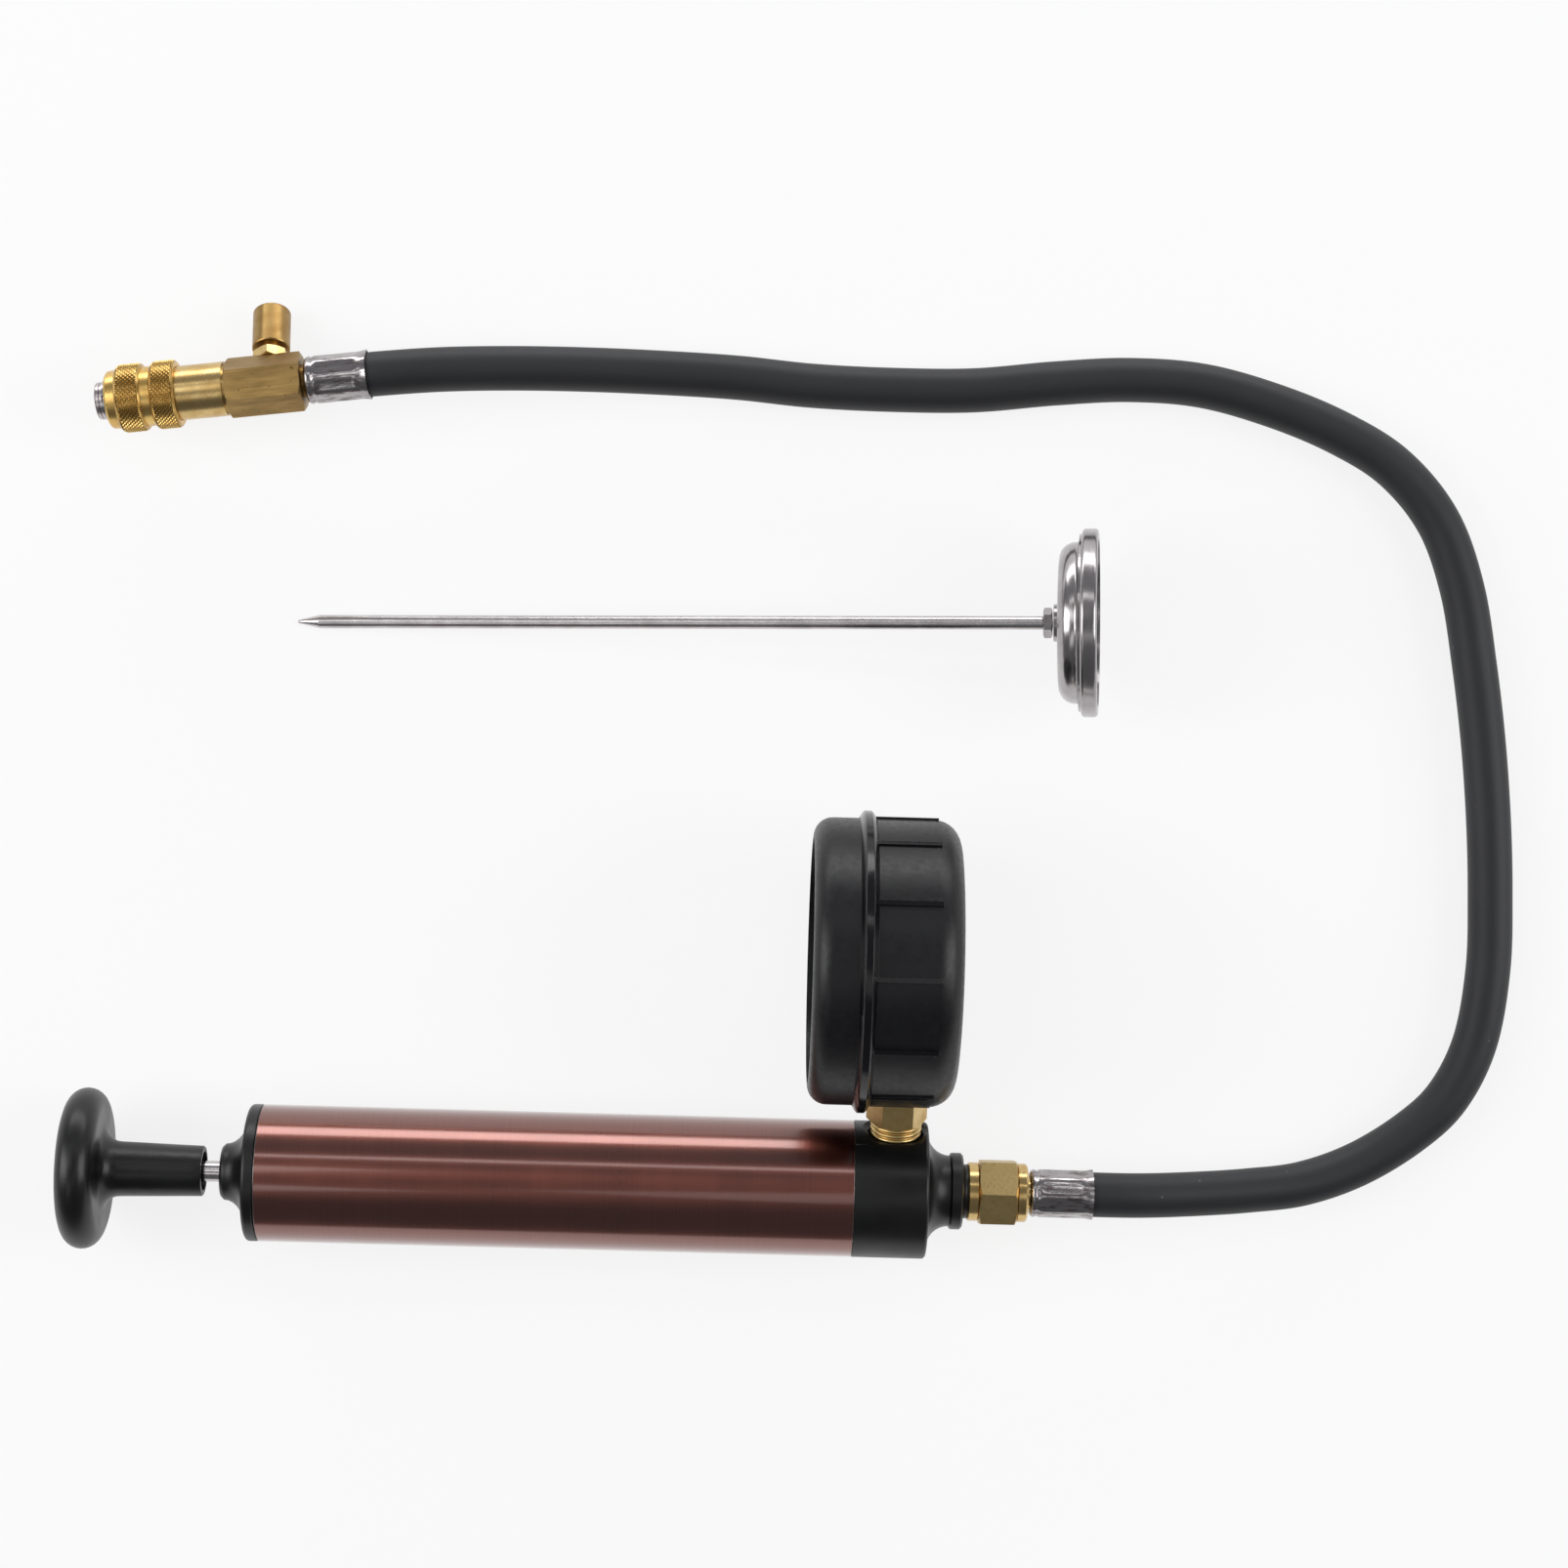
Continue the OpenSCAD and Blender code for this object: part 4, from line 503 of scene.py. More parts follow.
def window_glass():
    """Clear cast acrylic of a dial's window, hardly tinted, with a faint haze of wiping."""
    material, tree, shader, place = finish_of(
        "acrylic, clear cast", linear("#f4f8f8"), 0.0, 0.03, IOR=1.49, Transmission_Weight=1.0)
    haze = add(tree, "ShaderNodeTexNoise", {
        "Vector": place, "Scale": 1 / (7 * MM), "Detail": 4.0}).outputs["Fac"]
    rough = add(tree, "ShaderNodeMapRange", {
        "Value": haze, "From Min": 0.4, "From Max": 0.8, "To Min": 0.01, "To Max": 0.05})
    plug(tree, shader, {"Roughness": rough.outputs["Result"]})
    return material


FINISHES = {}


def finish(key):
    """The finish of that name, made once."""
    if key not in FINISHES:
        colours = bpy.context.scene.tester_colours
        makers = {
            "barrel": lambda: anodised_aluminium(colours),
            "plastic": lambda: moulded_plastic(colours),
            "boot": lambda: boot_rubber(colours),
            "hose": lambda: hose_rubber(colours),
            "pump brass": lambda: turned_brass(
                "brass, turned from hexagon bar", colours.brass, PUMP, 0.2,
                flats=(191.6, 201.7)),
            "stem brass": lambda: turned_brass(
                "brass, turned", colours.brass, GAUGE, 0.34),
            "coupler brass": lambda: turned_brass(
                "brass, turned and polished", colours.brass, COUPLER, 0.26,
                steel_from=70.75),
            "relief brass": lambda: turned_brass(
                "brass, turned, satin", colours.dull_brass, COUPLER, 0.34),
            # The knurled sleeve gets painted shade between its diamonds.
            "bright brass": lambda: turned_brass(
                "brass, knurled", colours.bright_brass, COUPLER, 0.28, shade_under=8.96),
            "dull brass": lambda: drawn_brass(colours),
            "rod steel": lambda: ground_steel(
                "stainless steel, ground rod", colours.steel, PUMP, 0.16,
                (GROUND_LINES, 30, 30)),
            "stem steel": lambda: ground_steel(
                "stainless steel, drawn tube", colours.steel, THERMO, 0.24,
                (30, GROUND_LINES, GROUND_LINES)),
            "case steel": lambda: ground_steel(
                "stainless steel, spun and polished", shades(colours.steel, 0.72)[0], THERMO, 0.2,
                (SPUN_LINES, 30, 30)),
            "plated steel": lambda: plated_steel(
                "mild steel, zinc plated", colours, PUMP),
            "plated steel, coupler": lambda: plated_steel(
                "mild steel, zinc plated, at the coupler", colours, COUPLER),
            "inner steel": lambda: plain_finish(
                "spring steel, drawn", linear("#a9a9ab"), 1.0, 0.28, 0.4, 0.004),
            "inner brass": lambda: plain_finish(
                "brass, stamped", linear("#c8a45c"), 1.0, 0.3, 0.5, 0.004),
            "bronze": lambda: plain_finish(
                "phosphor bronze, rolled", linear("#b98357"), 1.0, 0.3, 0.5, 0.004),
            "nylon": lambda: plain_finish(
                "nylon, machined", linear("#dedad0"), 0.0, 0.45, 0.4, 0.01),
            "seal": lambda: plain_finish(
                "nitrile rubber, moulded", linear("#141414"), 0.0, 0.5, 0.4, 0.01),
            "enamel": lambda: plain_finish(
                "steel, black enamelled", linear("#17181a"), 0.0, 0.3, 0.8, 0.01),
            "dial": lambda: plain_finish(
                "aluminium, white enamelled", colours.dial, 0.0, 0.45, 0.6, 0.005),
            "ink": lambda: plain_finish(
                "screen ink, black", colours.ink, 0.0, 0.5, 0.3, 0.003),
            "red": lambda: plain_finish(
                "aluminium, red enamelled", linear("#a81c16"), 0.0, 0.35, 0.6, 0.005),
            "window": window_glass,
        }
        FINISHES[key] = makers[key]()
    return FINISHES[key]


def dress(key, *nodes):
    """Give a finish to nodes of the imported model."""
    for name in nodes:
        slots = frame["nodes"][name].material_slots
        if not slots:
            frame["nodes"][name].data.materials.append(finish(key))
        for slot in slots:
            slot.material = finish(key)


# ---- Mesh helpers ----
SQUEEZED = "_squeezed"
MERGE = 0.0001 * MM
# Degrees between two faces. Below the first a round piece shades as one surface, and above the
# second an edge is softened.
ROUND_ANGLE = 22
EDGE_ANGLE = 30


def piece_from(bm, name, key, body, smooth_angle=32):
    """Turn a bmesh in the model's own place into a piece that rides on a body."""
    mesh = bpy.data.meshes.new(name)
    bm.to_mesh(mesh)
    bm.free()
    mesh.shade_smooth()
    mesh.set_sharp_from_angle(angle=math.radians(smooth_angle))
    mesh.materials.append(finish(key))
    piece = bpy.data.objects.new(name, mesh)
    bpy.context.scene.collection.objects.link(piece)
    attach(piece, body)
    return piece


def spun(outline, steps):
    """A bmesh of a closed outline of (place along X, radius) in mm, spun round X."""
    bm = bmesh.new()
    verts = [bm.verts.new((x * MM, 0, r * MM)) for x, r in outline]
    edges = [bm.edges.new(pair) for pair in zip(verts, verts[1:] + verts[:1])]
    bmesh.ops.spin(bm, geom=verts + edges, cent=(0, 0, 0), axis=(1, 0, 0),
                   angle=math.tau, steps=steps, use_merge=True)
    bmesh.ops.recalc_face_normals(bm, faces=bm.faces)
    return bm


def merged_copy(node):
    """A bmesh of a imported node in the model's place, with its points merged."""
    bm = bmesh.new()
    bm.from_mesh(frame["nodes"][node].data)
    bmesh.ops.transform(bm, matrix=frame["nodes"][node].matrix_world, verts=bm.verts)
    bmesh.ops.remove_doubles(bm, verts=bm.verts, dist=MERGE)
    return bm


def rounded(node, key, body, edge_mm=0.0):
    """A copy of a node whose narrow faces shade as one round surface, with soft edges if asked."""
    piece = piece_from(merged_copy(node), node + "_rounded", key, body, ROUND_ANGLE)
    if edge_mm:
        soft = piece.modifiers.new("soft edges", "BEVEL")
        soft.width = edge_mm * MM
        soft.segments = 2
        soft.limit_method = "ANGLE"
        soft.angle_limit = math.radians(EDGE_ANGLE)
    smooth = piece.modifiers.new("even shading", "WEIGHTED_NORMAL")
    smooth.keep_sharp = True
    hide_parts(node)


def squeezed_spring(node):
    """A merged copy of a coil spring, in place of the imported one."""
    bm = merged_copy(node)
    spring = piece_from(bm, node + SQUEEZED, "inner steel", "tester", 40)
    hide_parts(node)
    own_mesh(spring)


def around_x(vert):
    """A point's place along X and distance from X in mm, and its angle round X."""
    x, y, z = vert.co
    return x / MM, math.hypot(y, z) / MM, math.atan2(z, y)


def steps_between(start, end, most):
    """Places from start to end, no more than most apart, without the end itself."""
    count = max(1, math.ceil(abs(end - start) / most))
    return [start + (end - start) * i / count for i in range(count)]


# ---- Hose ----
# The hose's centre line in mm between its two ferrules, as the photograph shows it. From both
# fittings it comes down to lie on the table.
HOSE_WAY = [
    (150, -78, 16.5), (165, -77.5, 13.5), (180, -76.5, 10.5), (195, -74.5, 8),
    (210, -69, 6.4), (224, -60, 6.1), (234, -50, 6.1), (241, -35, 6.1), (244, -15, 6.1),
    (244, 5, 6.1), (243, 25, 6.1), (241, 46, 6.1), (238, 67, 6.1), (234, 88, 6.1),
    (227, 106, 6.1), (215, 120, 6.1), (200, 129, 6.1), (182, 136, 6.1), (162, 141, 6.1),
    (142, 142, 6.1), (122, 140.5, 6.1), (100, 138, 6.1), (78, 137.5, 6.1),
    (56, 138, 6.1), (36, 139.5, 6.8), (16, 140, 8.8), (-4, 140, 11.3), (-24, 139.5, 13.8),
    (-44, 138.3, 16.2)]
# Places in mm: its inner end and its mouth on the pump, and the same two on the coupler.
HOSE_START_U = 206.25
HOSE_MOUTH_U = 222.05
HOSE_END_S = 15.8
HOSE_MOUTH_S = 0
# How far inside a mouth the curve's point lies, in mm.
HOSE_INSIDE = 1
# The hose's thickness inside a ferrule, as a share of its own.
CRIMP = 0.95
# Points of the curve from one of the places above to the next.
CURVE_STEPS = 10


def smooth_way(points, steps):
    """Points on a smooth curve through all the given ones."""
    last = len(points) - 1
    way = []
    for i in range(last):
        a, b = points[max(i - 1, 0)], points[i]
        c, d = points[i + 1], points[min(i + 2, last)]
        for k in range(steps):
            f = k / steps
            way.append(b + f * (c - a) / 2 + f * f * (2 * a - 5 * b + 4 * c - d) / 2
                       + f ** 3 * (3 * b - a - 3 * c + d) / 2)
    return way + [points[last]]


class TESTER_OT_hose(bpy.types.Operator):
    """Lay the rubber hose from the pump's outlet to the coupler"""

    bl_idname = "tester.hose"
    bl_label = "Hose"

    def execute(self, context):
        sizes = context.scene.tester_sizes
        at_pump = (HOSE_START_U, HOSE_MOUTH_U - HOSE_INSIDE)
        at_coupler = (HOSE_MOUTH_S + HOSE_INSIDE, HOSE_END_S)
        way = [PUMP @ (Vector((u, 0, 0)) * MM) for u in at_pump]
        way += [Vector(p) * MM for p in HOSE_WAY]
        way += [COUPLER @ (Vector((s, 0, 0)) * MM) for s in at_coupler]
        points = smooth_way(way, CURVE_STEPS)
        curve = bpy.data.curves.new("hose_rubber", "CURVE")
        curve.dimensions = "3D"
        curve.bevel_depth = sizes.hose_diameter / 2
        curve.bevel_resolution = 10
        curve.use_fill_caps = True
        spline = curve.splines.new("POLY")
        spline.points.add(len(points) - 1)
        for i, (target, point) in enumerate(zip(spline.points, points)):
            # Inside both ferrules the hose is squeezed.
            inside = i <= CURVE_STEPS or i >= len(points) - 1 - CURVE_STEPS
            target.co = (*point, 1)
            target.radius = CRIMP if inside else 1.0
        spline.use_smooth = True
        curve.materials.append(finish("hose"))
        hose = bpy.data.objects.new("hose_rubber", curve)
        context.scene.collection.objects.link(hose)
        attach(hose, "tester")
        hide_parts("hose")
        on_it = [n for n in frame["record"]["physics"]["cord_nodes"] if n != "hose"]
        on_it[on_it.index("coupler_sleeve")] = "coupler_sleeve_knurled"
        on_it[on_it.index("coupler_ferrule")] = "coupler_ferrule_crimped"
        on_it = [n + SQUEEZED if n.endswith("_spring") else n for n in on_it]
        return {"FINISHED"}


# ---- Crimped ferrules ----
# Sizes in mm. The dies press long hollows into the sleeve, which fade out at both ends.
FERRULE_R = 6.4
FERRULE_WALL = 0.55
FERRULE_STEPS = 128
# The lip's place along the pump.
PUMP_FERRULE_LIP = 222.25
DIE_START = 2.4
DIE_END = 14.5
DIE_FADE = 1.6
HOLLOWS = 8
HOLLOW_SHARE = 0.86
HOLLOW_DEPTH = 0.36


def crimped_ferrule(name, place, key):
    """A steel ferrule from its flared lip at X = 0, pressed into eight long hollows."""
    outer = [(0, 6.35), (0.15, 6.75), (0.9, 6.6), (1.9, 6.42)]
    outer += [(s, FERRULE_R) for s in steps_between(2.5, 14.4, 0.45)]
    outer += [(14.4, FERRULE_R), (14.9, 6.1), (15.3, 6.15), (15.8, FERRULE_R), (16.3, 6.3),
              (16.75, 5.9), (17, 5.3)]
    inner_r = FERRULE_R - FERRULE_WALL
    inner = [(17, 4.5), (16, 4.5), (16, inner_r), (2.4, inner_r), (0.4, 6.2)]
    bm = spun(outer + inner, FERRULE_STEPS)
    for v in bm.verts:
        s, r, a = around_x(v)
        if not DIE_START < s < DIE_END or r < FERRULE_R - 0.1:
            continue
        ends = min(1, (s - DIE_START) / DIE_FADE, (DIE_END - s) / DIE_FADE)
        across = abs(((a / math.tau * HOLLOWS) % 1) - 0.5) * 2
        dent = max(0, 1 - (across / HOLLOW_SHARE) ** 2) ** 1.5 * math.sin(ends * math.pi / 2)
        pressed = 1 - HOLLOW_DEPTH * dent / r
        v.co.y *= pressed
        v.co.z *= pressed
    bmesh.ops.transform(bm, matrix=place, verts=bm.verts)
    ferrule = piece_from(bm, name, key, "tester", 50)
    return ferrule


# ---- Pump ----
class TESTER_OT_pump(bpy.types.Operator):
    """Finish the pump's barrel, its ends, its rod and knob, and what is inside"""

    bl_idname = "tester.pump"
    bl_label = "Hand pump"

    def execute(self, context):
        dress("barrel", "barrel")
        for node, body in (
                ("rear_cap", "tester"), ("front_head", "tester"), ("knob", "plunger")):
            rounded(node, "plastic", body)
        dress("rod steel", "pump_rod")
        dress("nylon", "rod_guide", "piston")
        dress("seal", "head_seal", "piston_cup")
        dress("inner steel", "check_ball", "piston_washer", "piston_nut")
        squeezed_spring("check_spring")
        dress("pump brass", "outlet_fitting")
        lip = PUMP @ Matrix.Translation((PUMP_FERRULE_LIP * MM, 0, 0))
        place = lip @ Matrix.Rotation(math.pi, 4, "Z")
        ferrule = crimped_ferrule("pump_ferrule_crimped", place, "plated steel")
        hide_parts("pump_ferrule")
        return {"FINISHED"}


# ---- Gauge ----
# Sizes in mm, unless they are shares. A dial's radii are where its ticks start and end, and where
# its numbers stand.
BOOT_EDGE = 0.3
THREAD_START = 45.1
THREAD_PITCH = 1.35
THREAD_R = 6.35
THREAD_DEPTH = 0.5
THREAD_TURNS = 3
THREAD_STEPS = 6
GAUGE_FACE_Z = 13.6
GAUGE_RADII = (24.2, 29.0, 19.6)
PRINT_HEIGHT = 0.06
# A number's height as a share of its font's size, and how much bolder it is than the font.
FONT_HEIGHT = 0.72
FONT_BOLDER = 0.02
# A short tick's length as a share of a long one's, and both widths as shares of a number's height.
SHORT_TICK = 0.55
LONG_WIDTH = 0.16
SHORT_WIDTH = 0.07


def tick(bm, centre_angle, inner, outer, width, height, turn):
    """One raised tick of a dial, a thin bar along the dial's radius, in mm."""
    shape = (Matrix.Rotation(centre_angle, 4, "Z")
             @ Matrix.Translation(((inner + outer) / 2 * MM, 0, height / 2 * MM))
             @ Matrix.Diagonal(((outer - inner) * MM, width * MM, height * MM, 1)))
    bmesh.ops.create_cube(bm, size=1, matrix=turn @ shape)


def numerals(bm, labels, radius, size, height, turn):
    """Raised numbers on a dial, each upright at its own angle, in mm."""
    for label, angle in labels:
        text = bpy.data.curves.new("numeral", "FONT")
        text.body = label
        text.size = size / FONT_HEIGHT
        text.align_x = "CENTER"
        text.align_y = "CENTER"
        text.extrude = height / 2
        text.offset = size * FONT_BOLDER
        carrier = bpy.data.objects.new("numeral", text)
        bpy.context.scene.collection.objects.link(carrier)
        bpy.context.view_layer.update()
        mesh = bpy.data.meshes.new_from_object(carrier)
        place = Matrix.Translation((radius * math.cos(angle), radius * math.sin(angle),
                                    height / 2))
        mesh.transform(turn @ Matrix.Scale(MM, 4) @ place)
        bm.from_mesh(mesh)
        bpy.data.meshes.remove(mesh)
        bpy.data.objects.remove(carrier)
        bpy.data.curves.remove(text)


def dial_print(name, body, turn, start, sweep, values, per_value, radii, size):
    """Ticks and numbers on a dial, from the angle start and clockwise through sweep."""
    bm = bmesh.new()
    inner, outer, number_radius = radii
    count = (len(values) - 1) * per_value
    for i in range(count + 1):
        major = i % per_value == 0
        reach = inner if major else outer - (outer - inner) * SHORT_TICK
        width = size * (LONG_WIDTH if major else SHORT_WIDTH)
        tick(bm, start - sweep * i / count, reach, outer, width, PRINT_HEIGHT, turn)
    labels = [(v, start - sweep * i / (len(values) - 1)) for i, v in enumerate(values)]
    numerals(bm, labels, number_radius, size, PRINT_HEIGHT, turn)
    piece_from(bm, name, "ink", body)


class TESTER_OT_gauge(bpy.types.Operator):
    """Finish the gauge, its boot, its works and its window"""

    bl_idname = "tester.gauge"
    bl_label = "Pressure gauge"

    def execute(self, context):
        rounded("gauge_boot", "boot", "tester", BOOT_EDGE)
        dress("enamel", "gauge_case", "gauge_bezel", "gauge_pointer")
        dress("window", "gauge_lens")
        dress("dial", "gauge_dial")
        dress("stem brass", "gauge_socket")
        dress("bronze", "bourdon_tube")
        dress("inner brass", "gauge_link", "movement_plates", "sector_gear", "pointer_arbor")
        # Three turns of the stem's thread show between its hexagon and the pump's head.
        outline = [(44.85, 6.1), (44.85, 6.4)]
        for i in range(THREAD_TURNS):
            start = THREAD_START + THREAD_PITCH * i
            for k in range(THREAD_STEPS):
                crest = math.sin(math.pi * k / THREAD_STEPS)
                outline.append((start + THREAD_PITCH * k / THREAD_STEPS,
                                THREAD_R + THREAD_DEPTH * crest))
        outline += [(49.2, THREAD_R), (49.2, 6.1)]
        bm = spun(outline, 96)
        place = GAUGE @ Matrix.Rotation(-math.pi / 2, 4, "Z")
        bmesh.ops.transform(bm, matrix=place, verts=bm.verts)
        thread = piece_from(bm, "gauge_thread", "stem brass", "tester", 60)
        return {"FINISHED"}


class TESTER_OT_gauge_print(bpy.types.Operator):
    """Print plain ticks and numbers on the gauge's dial"""

    bl_idname = "tester.gauge_print"
    bl_label = "Gauge dial print"

    def execute(self, context):
        face = GAUGE @ Matrix.Translation((0, 0, GAUGE_FACE_Z * MM))
        values = ["0", "0.5", "1", "1.5", "2", "2.5"]
        size = context.scene.tester_sizes.numeral_height / MM
        dial_print("gauge_scale", "tester", face, math.radians(225), math.radians(270),
                   values, 10, GAUGE_RADII, size)
        return {"FINISHED"}


# ---- Coupler ----
# Sizes in mm. The real diamonds are a little finer, about 1 mm apart. They are drawn as coarse as
# they need to show in the picture.
KNURL_PITCH = 1.25
BANDS = ((51.6, 58.2), (60.8, 67.7))
BAND_EDGE = 0.4
BAND_R = 8.9
STEP_R = 8.0
# Points nearer the axis than this are not on a band's outside.
KNURL_CORE = 8.5


def knurl_rows(start, end):
    """The number of diamonds along a band."""
    return round((end - start) / KNURL_PITCH)


def knurl(bm, start, end, teeth, height):
    """Raise diamonds on a band by moving its points outwards."""
    pitch = (end - start) / knurl_rows(start, end)
    for v in bm.verts:
        s, r, a = around_x(v)
        if not start + 0.01 < s < end - 0.01 or r < KNURL_CORE:
            continue
        turn, run = a / math.tau * teeth, (s - start) / pitch
        one = 1 - abs(2 * ((turn + run) % 1) - 1)
        two = 1 - abs(2 * ((turn - run) % 1) - 1)
        grown = 1 + (min(one, two) * 2 - 1) * height / r
        v.co.y *= grown
        v.co.z *= grown


class TESTER_OT_coupler(bpy.types.Operator):
    """Finish the coupler, and give its sleeve the knurled bands"""

    bl_idname = "tester.coupler"
    bl_label = "Quick coupler"

    def execute(self, context):
        sizes = context.scene.tester_sizes
        ferrule = crimped_ferrule("coupler_ferrule_crimped", COUPLER, "plated steel, coupler")
        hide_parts("coupler_ferrule")
        dress("dull brass", "valve_body")
        dress("coupler brass", "relief_seat", "coupler_body")
        dress("relief brass", "relief_cap")
        dress("inner steel", "relief_pin", "lock_balls", "sleeve_ring")
        squeezed_spring("relief_spring")
        squeezed_spring("sleeve_spring")
        squeezed_spring("poppet_spring")
        dress("seal", "socket_seal")
        dress("inner brass", "coupler_poppet")
        outline = [(51.6, 7.35), (51.6, BAND_R - 0.5)]
        for start, end in BANDS:
            rows = knurl_rows(start + BAND_EDGE, end - BAND_EDGE)
            quarter = (end - start - 2 * BAND_EDGE) / rows / 4
            outline += [(start + BAND_EDGE + i * quarter, BAND_R) for i in range(4 * rows)]
            outline += [(end - BAND_EDGE, BAND_R), (end, BAND_R - BAND_EDGE), (end, STEP_R)]
            if (start, end) == BANDS[0]:
                outline += [(60.8, STEP_R), (60.8, BAND_R - BAND_EDGE)]
        outline += [(70.1, STEP_R - 0.25), (70.55, STEP_R - 0.55), (70.7, STEP_R - 0.8),
                    (70.7, 5.05), (69.7, 5.05), (69.7, 6), (67.4, 6), (67.4, 5.05),
                    (62.2, 5.05), (62.2, 7.35)]
        bm = spun(outline, sizes.knurl_teeth * 4)
        for start, end in BANDS:
            knurl(bm, start + BAND_EDGE, end - BAND_EDGE, sizes.knurl_teeth,
                  sizes.knurl_height / MM)
        bmesh.ops.transform(bm, matrix=COUPLER, verts=bm.verts)
        sleeve = piece_from(bm, "coupler_sleeve_knurled", "bright brass", "sleeve", 24)
        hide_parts("coupler_sleeve")
        return {"FINISHED"}


# ---- Thermometer ----
# Sizes in mm. The head lies rolled, with the dial's upright this far below level, in degrees.
THERMO_FACE_X = 213.9
THERMO_RADII = (18.6, 22.0, 14.6)
THERMO_NUMERAL = 3.4
HEAD_ROLL = 42.5


class TESTER_OT_thermometer(bpy.types.Operator):
    """Finish the thermometer's stem, head and window"""

    bl_idname = "tester.thermometer"
    bl_label = "Dial thermometer"

    def execute(self, context):
        dress("stem steel", "thermo_stem")
        dress("case steel", "thermo_nut", "thermo_collar")
        for node in ("thermo_case", "thermo_bezel"):
            rounded(node, "case steel", "thermo_head")
        dress("window", "thermo_lens")
        dress("dial", "thermo_dial")
        dress("red", "thermo_pointer")
        dress("inner steel", "thermo_spindle")
        dress("bronze", "thermo_coil")
        return {"FINISHED"}


class TESTER_OT_thermometer_print(bpy.types.Operator):
    """Print plain ticks and numbers on the thermometer's dial"""

    bl_idname = "tester.thermometer_print"
    bl_label = "Thermometer dial print"

    def execute(self, context):
        up, right = (math.radians(a) for a in (-HEAD_ROLL, -HEAD_ROLL - 90))
        turn = Matrix(((0, 0, 1), (math.cos(right), math.cos(up), 0),
                       (math.sin(right), math.sin(up), 0))).to_4x4()
        face = THERMO @ Matrix.Translation((THERMO_FACE_X * MM, 0, 0)) @ turn
        values = ["-20", "0", "20", "40", "60", "80", "100"]
        dial_print("thermometer_scale", "thermo_head", face, math.radians(217.5),
                   math.radians(255), values, 10, THERMO_RADII, THERMO_NUMERAL)
        return {"FINISHED"}


# ---- Stage ----
# The camera looks straight down and is turned by CAMERA_ROLL degrees. Its place is in metres.
PHOTO_PX = 1605
FOCAL_PX = 3400
SENSOR_MM = 36
CAMERA_PLACE = (0.0515, 0.0297, 0.908)
CAMERA_ROLL = 1.63
PALER_TOWARDS = (0.0, 0.1, -0.05)
SKY_LEVEL = 0.27
FLOOR_GLOW = 0.82
FLOOR_HALF = 3


def softbox(name, place, target, size, watts):
    """A rectangular studio lamp that faces a point on the table."""
    lamp = bpy.data.lights.new(name, "AREA")
    lamp.shape = "RECTANGLE"
    lamp.size, lamp.size_y = size
    lamp.energy = watts
    holder = bpy.data.objects.new(name, lamp)
    holder.location = place
    holder.rotation_euler = (Vector(target) - Vector(place)).to_track_quat("-Z", "Y").to_euler()
    bpy.context.scene.collection.objects.link(holder)


def seen_directly(tree):
    """1 for what the camera, a polished surface or a window shows, and 0 for light on the object."""
    path = add(tree, "ShaderNodeLightPath")
    first = add(tree, "ShaderNodeMath", {
        0: path.outputs["Is Camera Ray"], 1: path.outputs["Is Glossy Ray"]}, operation="MAXIMUM")
    return add(tree, "ShaderNodeMath", {
        0: first.outputs[0], 1: path.outputs["Is Transmission Ray"]},
        operation="MAXIMUM").outputs[0]


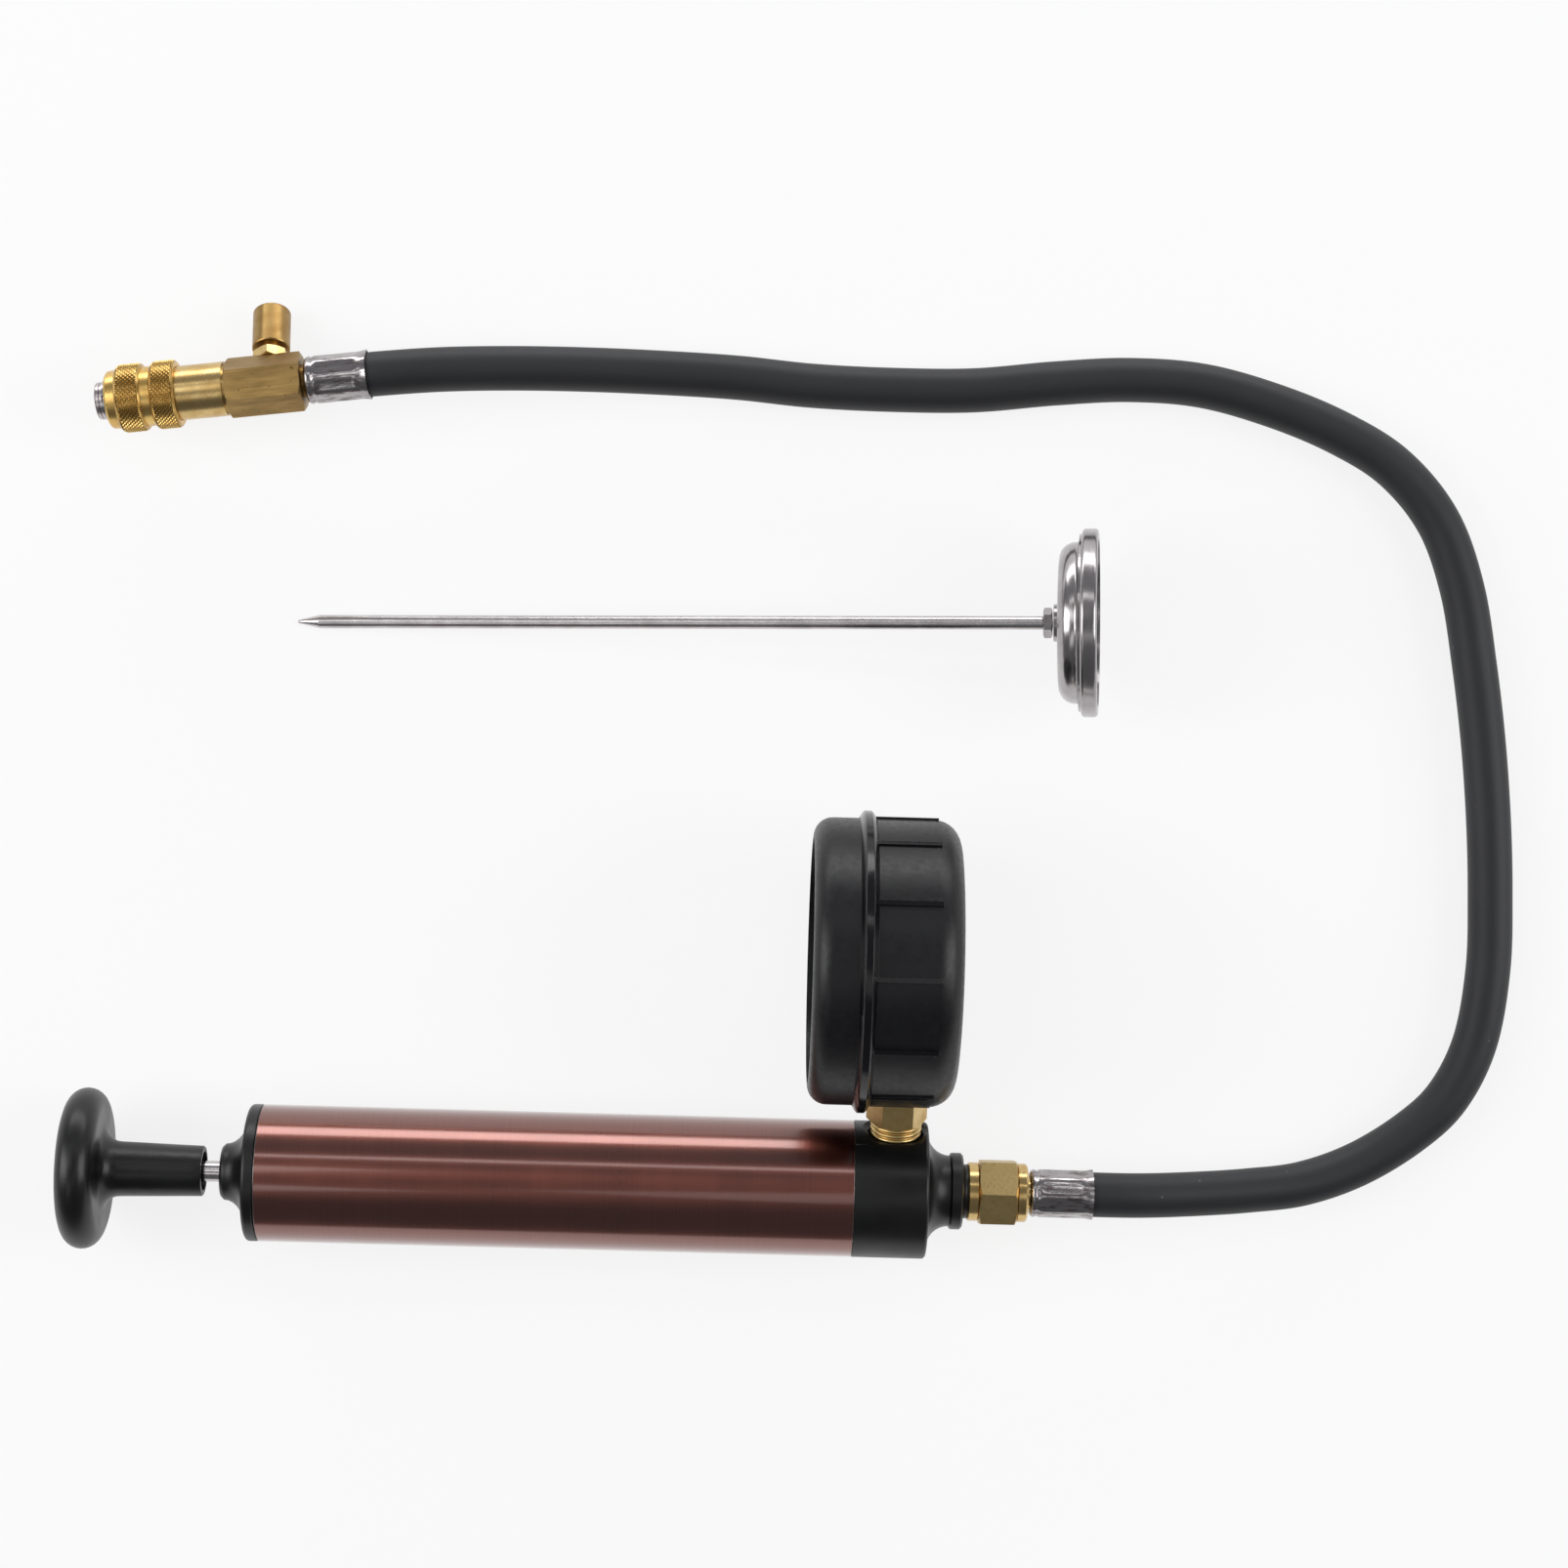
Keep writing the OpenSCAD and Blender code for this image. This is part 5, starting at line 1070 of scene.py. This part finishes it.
class TESTER_OT_stage(bpy.types.Operator):
    """Set up the camera, the pale floor and the soft studio light"""

    bl_idname = "tester.stage"
    bl_label = "Stage"

    def execute(self, context):
        scene = context.scene
        view = bpy.data.cameras.new("camera")
        view.sensor_width = SENSOR_MM
        view.lens = FOCAL_PX / PHOTO_PX * SENSOR_MM
        view.clip_start = 0.05
        view.clip_end = 20
        camera = bpy.data.objects.new("camera", view)
        camera.location = CAMERA_PLACE
        camera.rotation_euler = (0, 0, math.radians(CAMERA_ROLL))
        scene.collection.objects.link(camera)
        scene.camera = camera

        bm = bmesh.new()
        bmesh.ops.create_grid(bm, x_segments=1, y_segments=1, size=FLOOR_HALF)
        floor_mesh = bpy.data.meshes.new("floor")
        bm.to_mesh(floor_mesh)
        bm.free()
        floor = bpy.data.objects.new("floor", floor_mesh)
        floor.location = (0, 0, CAD_BOX[0][2])
        scene.collection.objects.link(floor)
        material = bpy.data.materials.new("paper sweep, white")
        material.use_nodes = True
        tree = material.node_tree
        shader = tree.nodes["Principled BSDF"]
        plug(tree, shader, {
            "Base Color": (*linear("#fafafa"), 1), "Roughness": 0.9, "Specular IOR Level": 0.1})
        glow = add(tree, "ShaderNodeEmission", {"Strength": 1.0})
        share = add(tree, "ShaderNodeMath", {0: seen_directly(tree), 1: FLOOR_GLOW},
                    operation="MULTIPLY").outputs[0]
        mix = add(tree, "ShaderNodeMixShader", {
            0: share, 1: shader.outputs[0], 2: glow.outputs[0]})
        plug(tree, tree.nodes["Material Output"], {"Surface": mix.outputs[0]})
        floor_mesh.materials.append(material)

        # The studio is dim, and a little paler on the far side than overhead and on the near side.
        world = bpy.data.worlds.new("studio")
        world.use_nodes = True
        sky = world.node_tree
        way = add(sky, "ShaderNodeTexCoord").outputs["Generated"]
        paler = add(sky, "ShaderNodeVectorMath", {0: way, 1: PALER_TOWARDS},
                    operation="DOT_PRODUCT").outputs["Value"]
        level = add(sky, "ShaderNodeMath", {0: paler, 1: SKY_LEVEL}, operation="ADD")
        plug(sky, sky.nodes["Background"], {
            "Color": (*linear("#eef0f4"), 1), "Strength": level.outputs[0]})
        scene.world = world

        middle = (0.08, 0.02, 0)
        softbox("low far wall", (0.08, 1.25, 0.2), (0.08, 0.1, 0.1), (2.2, 0.36), 10)
        softbox("upper strip", (0.08, 0.75, 1.18), middle, (1.8, 0.11), 1.3)
        softbox("overhead panel", (0.28, -0.2, 1.3), middle, (0.7, 0.3), 0.4)
        softbox("overhead panel, coupler", (-0.45, 0.25, 1.3), middle, (0.36, 0.5), 0.8)
        softbox("near panel, coupler", (-0.45, -0.6, 1.3), middle, (0.34, 0.6), 0.7)
        softbox("left panel", (-1.25, 0.1, 0.95), middle, (0.8, 1.2), 11)
        softbox("right panel", (1.4, 0.1, 0.95), middle, (0.8, 1.2), 11)
        scene.view_settings.view_transform = "Standard"
        return {"FINISHED"}


OPERATORS = (
    TESTER_OT_stage, TESTER_OT_pump, TESTER_OT_gauge, TESTER_OT_gauge_print,
    TESTER_OT_coupler, TESTER_OT_hose, TESTER_OT_thermometer, TESTER_OT_thermometer_print)


class TESTER_PT_pieces(bpy.types.Panel):
    """Lists the sizes, the colours and the steps"""

    bl_idname = "TESTER_PT_pieces"
    bl_label = "Pressure tester"
    bl_space_type = "VIEW_3D"
    bl_region_type = "UI"
    bl_category = "Tester"

    def draw(self, context):
        layout = self.layout
        for group in (context.scene.tester_sizes, context.scene.tester_colours):
            box = layout.box()
            for name in group.__annotations__:
                box.prop(group, name)
        for operator in OPERATORS:
            layout.operator(operator.bl_idname)


CLASSES = (TesterSizes, TesterColours, *OPERATORS, TESTER_PT_pieces)


def register():
    """Add the classes and the scene's settings."""
    for cls in CLASSES:
        bpy.utils.register_class(cls)
    bpy.types.Scene.tester_sizes = bpy.props.PointerProperty(type=TesterSizes)
    bpy.types.Scene.tester_colours = bpy.props.PointerProperty(type=TesterColours)


def unregister():
    """Remove them again."""
    del bpy.types.Scene.tester_sizes
    del bpy.types.Scene.tester_colours
    for cls in reversed(CLASSES):
        bpy.utils.unregister_class(cls)


def main():
    """Run every step in order."""
    register()
    bpy.ops.tester.stage()
    bpy.ops.tester.pump()
    bpy.ops.tester.gauge()
    bpy.ops.tester.gauge_print()
    bpy.ops.tester.coupler()
    bpy.ops.tester.hose()
    bpy.ops.tester.thermometer()
    bpy.ops.tester.thermometer_print()
    bpy.context.view_layer.update()


if __name__ == "__main__":
    main()
